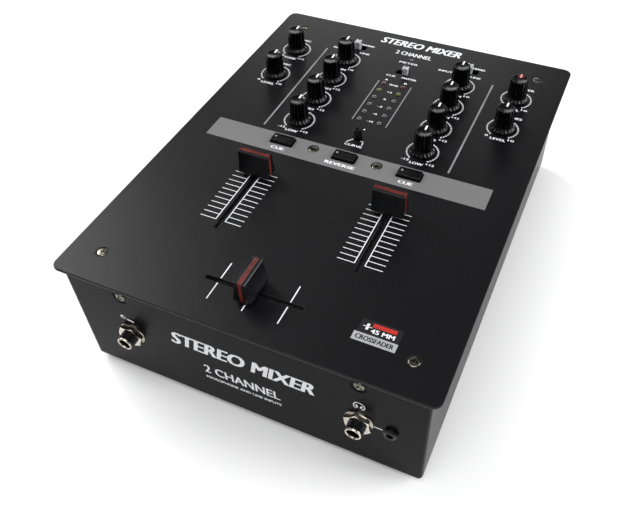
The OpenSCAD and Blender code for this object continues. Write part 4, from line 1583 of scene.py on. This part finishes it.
def threaded(radius: float, bore: float, start: float, end: float, pitch: float, depth: float) -> list[Point]:
    """Returns the closed profile of a threaded tube.

    Args:
        radius: The radius over the thread.
        bore: The radius of the bore.
        start: The height of its lower end.
        end: The height of its upper end.
        pitch: The distance between threads.
        depth: The depth of the thread.

    Returns:
        The profile, for a hollow lathe.
    """
    profile: list[Point] = [(bore, start), (radius - depth, start)]
    count = int((end - start - 0.8) / pitch)
    for k in range(count):
        z = start + k * pitch
        profile += [(radius - depth, z + 0.1 * pitch), (radius, z + 0.5 * pitch), (radius - depth, z + 0.9 * pitch)]
    top = start + count * pitch
    profile += [(radius - 0.35, top + 0.1), (radius - 0.35, end - 0.35), (radius - 0.6, end - 0.08),
                (radius - 0.8, end), (bore + 0.35, end), (bore + 0.08, end - 0.1), (bore, end - 0.4)]
    return profile


@dataclass
class FrontSockets:
    """The two large sockets and the small one on the front."""

    bench: Bench
    large_x: float = 63.0
    small_x: float = 78.8
    thread: float = 4.5
    bore: float = 3.2
    reach: float = 7.8
    tip: float = 1.2
    nut: Point = (14.6, 2.4)
    nut_turns: Point = (11.0, 40.0)
    washer: Point = (7.2, 0.6)
    small_reach: float = 2.2
    small_radii: tuple[float, float, float] = (3.4, 2.8, 1.8)

    def hexagon(self) -> Form:
        """Returns the chamfered nut with its hole, standing on the washer."""
        across, thick = self.nut
        lower = self.washer[1]
        upper = lower + thick
        body = Form().prism(circle(across / 2, 6), lower, upper)
        turned_down = Form().lathe(
            [(across / 2 - 0.9, lower - 0.01), (across / 2 + 0.2, lower + 0.55), (across / 2 + 0.2, upper - 0.6),
             (across / 2 - 1.0, upper + 0.01)], 60,
        )
        body.cut(turned_down, Cut.COMMON)
        hole = Form().lathe([(self.thread + 0.1, lower - 1), (self.thread + 0.1, upper + 1)], 48)
        return body.cut(hole)

    def barrel(self) -> Form:
        """Returns the threaded barrel of a large socket with its block behind the wall."""
        tip = self.reach - self.tip
        profile = threaded(self.thread, self.bore, -1.2, tip, 0.75, 0.35)
        barrel = Form().lathe(profile, 48, hollow=True)
        block = Form().prism(rectangle(14.6, 14.6, 0.8, 3), -25.3, -1.25, 0.3, 0.3)
        return barrel.join(block.cut(Form().prism(circle(self.bore, 40), -20.7, 1)))

    def tip_ring(self) -> Form:
        """Returns the bright ring at the mouth of a large socket."""
        start, end = self.reach - self.tip, self.reach
        rim = self.thread - 0.4
        profile = [(self.bore - 0.05, start + 0.02), (rim, start + 0.02), (rim, end - 0.45), (rim - 0.12, end - 0.16),
                   (rim - 0.35, end), (self.bore + 0.32, end), (self.bore + 0.05, end - 0.2),
                   (self.bore - 0.05, end - 0.5)]
        return Form().lathe(profile, 56, hollow=True)

    def contact(self) -> Form:
        """Returns the sprung tongue in a large socket's bore."""
        tongue = Form().prism(rectangle(1.6, 3.0, 0.3, 2), 0, 0.35, 0.1, 0.1)
        return tongue.moved(at(0, -1.9, -2.0) @ turned("X", -30))

    def build(self) -> None:
        """Adds the barrels, rings, nuts and washers."""
        z = middle("socket_nuts").z
        places = [facing_front(side * self.large_x, FRONT_Y, z) for side in (-1, 1)]
        barrels = Form().join(self.barrel(), places)
        self.bench.add("socket_barrels", barrels, "case", "socket_black", SOCKET_BLACK, ["front_sockets"])
        self.bench.add("socket_tips", Form().join(self.tip_ring(), places), "case", "nickel", NICKEL)
        self.bench.add("socket_contacts", Form().join(self.contact(), places), "case", "nickel", NICKEL)
        rim, thick = self.washer
        washer = Form().lathe(
            [(self.thread + 0.1, 0.0), (rim, 0.0), (rim, thick - 0.15), (rim - 0.15, thick), (self.thread + 0.1, thick)],
            56, hollow=True,
        )
        self.bench.add("front_washers", Form().join(washer, places), "case", "nickel", NICKEL, ["socket_washers"])
        nuts = Form()
        for place, turn in zip(places, self.nut_turns):
            nuts.join(self.hexagon(), [place @ turned("Z", turn)])
        self.bench.add("front_nuts", nuts, "case", "nickel", NICKEL, ["socket_nuts"])
        self.small(z)

    def small(self, z: float) -> None:
        """Adds the small socket at height z."""
        reach = self.small_reach
        ring, thread, bore = self.small_radii
        outer = Form().lathe(
            [(bore + 0.02, -1.0), (thread, -1.0), (thread, 0.02), (ring, 0.02), (ring, reach - 0.9),
             (ring - 0.3, reach - 0.5), (thread, reach - 0.4), (thread, reach - 0.1), (thread - 0.2, reach),
             (bore + 0.25, reach), (bore + 0.02, reach - 0.25)],
            48, hollow=True,
        )
        block = Form().prism(rectangle(8.4, 8.4, 0.6, 3), -13.3, -1.25, 0.3, 0.3)
        outer.join(block.cut(Form().prism(circle(bore, 32), -10.8, 1)))
        outer.moved(facing_front(self.small_x, FRONT_Y, z))
        self.bench.add("mini_socket_body", outer, "case", "socket_black", BLACK_PLASTIC, ["mini_socket"])


@dataclass
class RearSockets:
    """The phono sockets, ground post, inlet and power switch at the back."""

    bench: Bench
    pairs: int = 5
    pitch: float = 17.0
    first_x: float = -58.0
    heights: Point = (26.0, 44.0)
    barrel: float = 4.15
    reach: float = 10.0

    def build(self) -> None:
        """Adds the barrels and their coloured insulators, and dresses the rest."""
        barrel = Form().lathe(
            [(3.3, -2.0), (5.3, -2.0), (5.35, 0.05), (5.35, 0.9), (5.1, 1.15), (self.barrel, 1.2),
             (self.barrel, self.reach - 0.4), (self.barrel - 0.25, self.reach - 0.05), (3.6, self.reach),
             (3.3, self.reach - 0.2)], 48, hollow=True,
        )
        core = Form().lathe(
            [(1.65, -1.0), (3.28, -1.0), (3.28, self.reach - 0.5), (3.0, self.reach - 0.25), (1.9, self.reach - 0.25),
             (1.65, self.reach - 0.45)], 40, hollow=True,
        )
        rows = [[facing_back(self.first_x + i * self.pitch, REAR_Y, z) for i in range(self.pairs)] for z in self.heights]
        self.bench.add("phono_barrels", Form().join(barrel, rows[0] + rows[1]), "case", "nickel", NICKEL)
        self.bench.add("phono_red_cores", Form().join(core, rows[0]), "case", "socket_black", RED_INSULATOR)
        self.bench.add("phono_white_cores", Form().join(core, rows[1]), "case", "socket_black", WHITE_INSULATOR)
        self.bench.dress(BLACK_PLASTIC, "phono_sockets", "power_inlet", "rocker_frame", "power_rocker")
        self.bench.dress(NICKEL, "ground_post")


def dress_insides(bench: Bench) -> None:
    """Dresses the boards and the works under the panel."""
    bench.dress(BOARD, "control_board", "main_board")
    bench.dress(GREY_PLASTIC, "pot_bodies", "button_switches")
    bench.dress(SHEET_STEEL, "slide_switch_bodies")


# ---- Studio --------------------------------------------------------------------


@dataclass
class Studio:
    """The pale floor, the soft lights and the camera."""

    eye: tuple[float, float, float] = (125.6, -281.3, 332.2)
    tilt: tuple[float, float, float] = (43.29, 1.05, 23.98)
    lens: float = 39.65
    shift: Point = (-0.0286, -0.027)

    def camera(self) -> None:
        """Adds the camera."""
        data = bpy.data.cameras.new("camera")
        data.lens = self.lens
        data.sensor_width = 36
        data.shift_x, data.shift_y = self.shift
        data.clip_start = 0.01
        camera = bpy.data.objects.new("camera", data)
        camera.location = Vector(self.eye) * MM
        camera.rotation_euler = Euler([math.radians(angle) for angle in self.tilt], "XYZ")
        bpy.context.scene.collection.objects.link(camera)
        bpy.context.scene.camera = camera

    def lamp(self, name: str, place: tuple[float, float, float], size: float, power: float) -> None:
        """Adds a square soft light aimed at the middle of the mixer."""
        data = bpy.data.lights.new(name, "AREA")
        data.size = size
        data.energy = power
        lamp = bpy.data.objects.new(name, data)
        lamp.location = place
        lamp.rotation_euler = (Vector((0, 0, 0.05)) - lamp.location).to_track_quat("-Z", "Y").to_euler()
        bpy.context.scene.collection.objects.link(lamp)

    def floor(self) -> None:
        """Adds the floor, a broad white sheet."""
        mesh = bpy.data.meshes.new("floor")
        half = 3.0
        mesh.from_pydata([(-half, -half, 0), (half, -half, 0), (half, half, 0), (-half, half, 0)], [], [(0, 1, 2, 3)])
        graph = Graph("floor_paper")
        mottle = graph.noise(200, 2)
        graph.surface(
            base_color=graph.blend(mottle, (0.93, 0.93, 0.935), (0.96, 0.96, 0.96)),
            roughness=0.9,
            specular_ior_level=0.1,
        )
        mesh.materials.append(graph.material)
        floor = bpy.data.objects.new("floor", mesh)
        bpy.context.scene.collection.objects.link(floor)

    def build(self) -> None:
        """Adds everything, with a white room round it."""
        self.camera()
        self.floor()
        self.lamp("softbox_left", (-1.5, 0.4, 1.26), 0.9, 27)
        self.lamp("softbox_back", (-0.6, 1.7, 0.45), 1.0, 6)
        self.lamp("softbox_top", (0.1, -0.9, 2.3), 2.0, 44)
        self.lamp("softbox_right", (1.6, 0.6, 0.75), 1.1, 32)
        world = bpy.data.worlds.new("room")
        world.use_nodes = True
        background = world.node_tree.nodes["Background"]
        background.inputs["Color"].default_value = (1, 1, 1, 1)
        background.inputs["Strength"].default_value = 0.16
        bpy.context.scene.world = world
        bpy.context.scene.view_settings.view_transform = "Standard"


def main() -> None:
    """Builds the mixer and the studio."""
    logging.basicConfig(level=logging.INFO, format="%(message)s")
    bench = Bench()
    Studio().build()
    panel = Panel(bench)
    panel.build()
    Legend(bench, panel).build()
    Case(bench).build()
    Knobs(bench).build()
    CurveControl(bench).build()
    Faders(bench).build()
    Keys(bench).build()
    Levers(bench).build()
    Meter(bench).build()
    FrontSockets(bench).build()
    RearSockets(bench).build()
    dress_insides(bench)


if __name__ == "__main__":
    main()
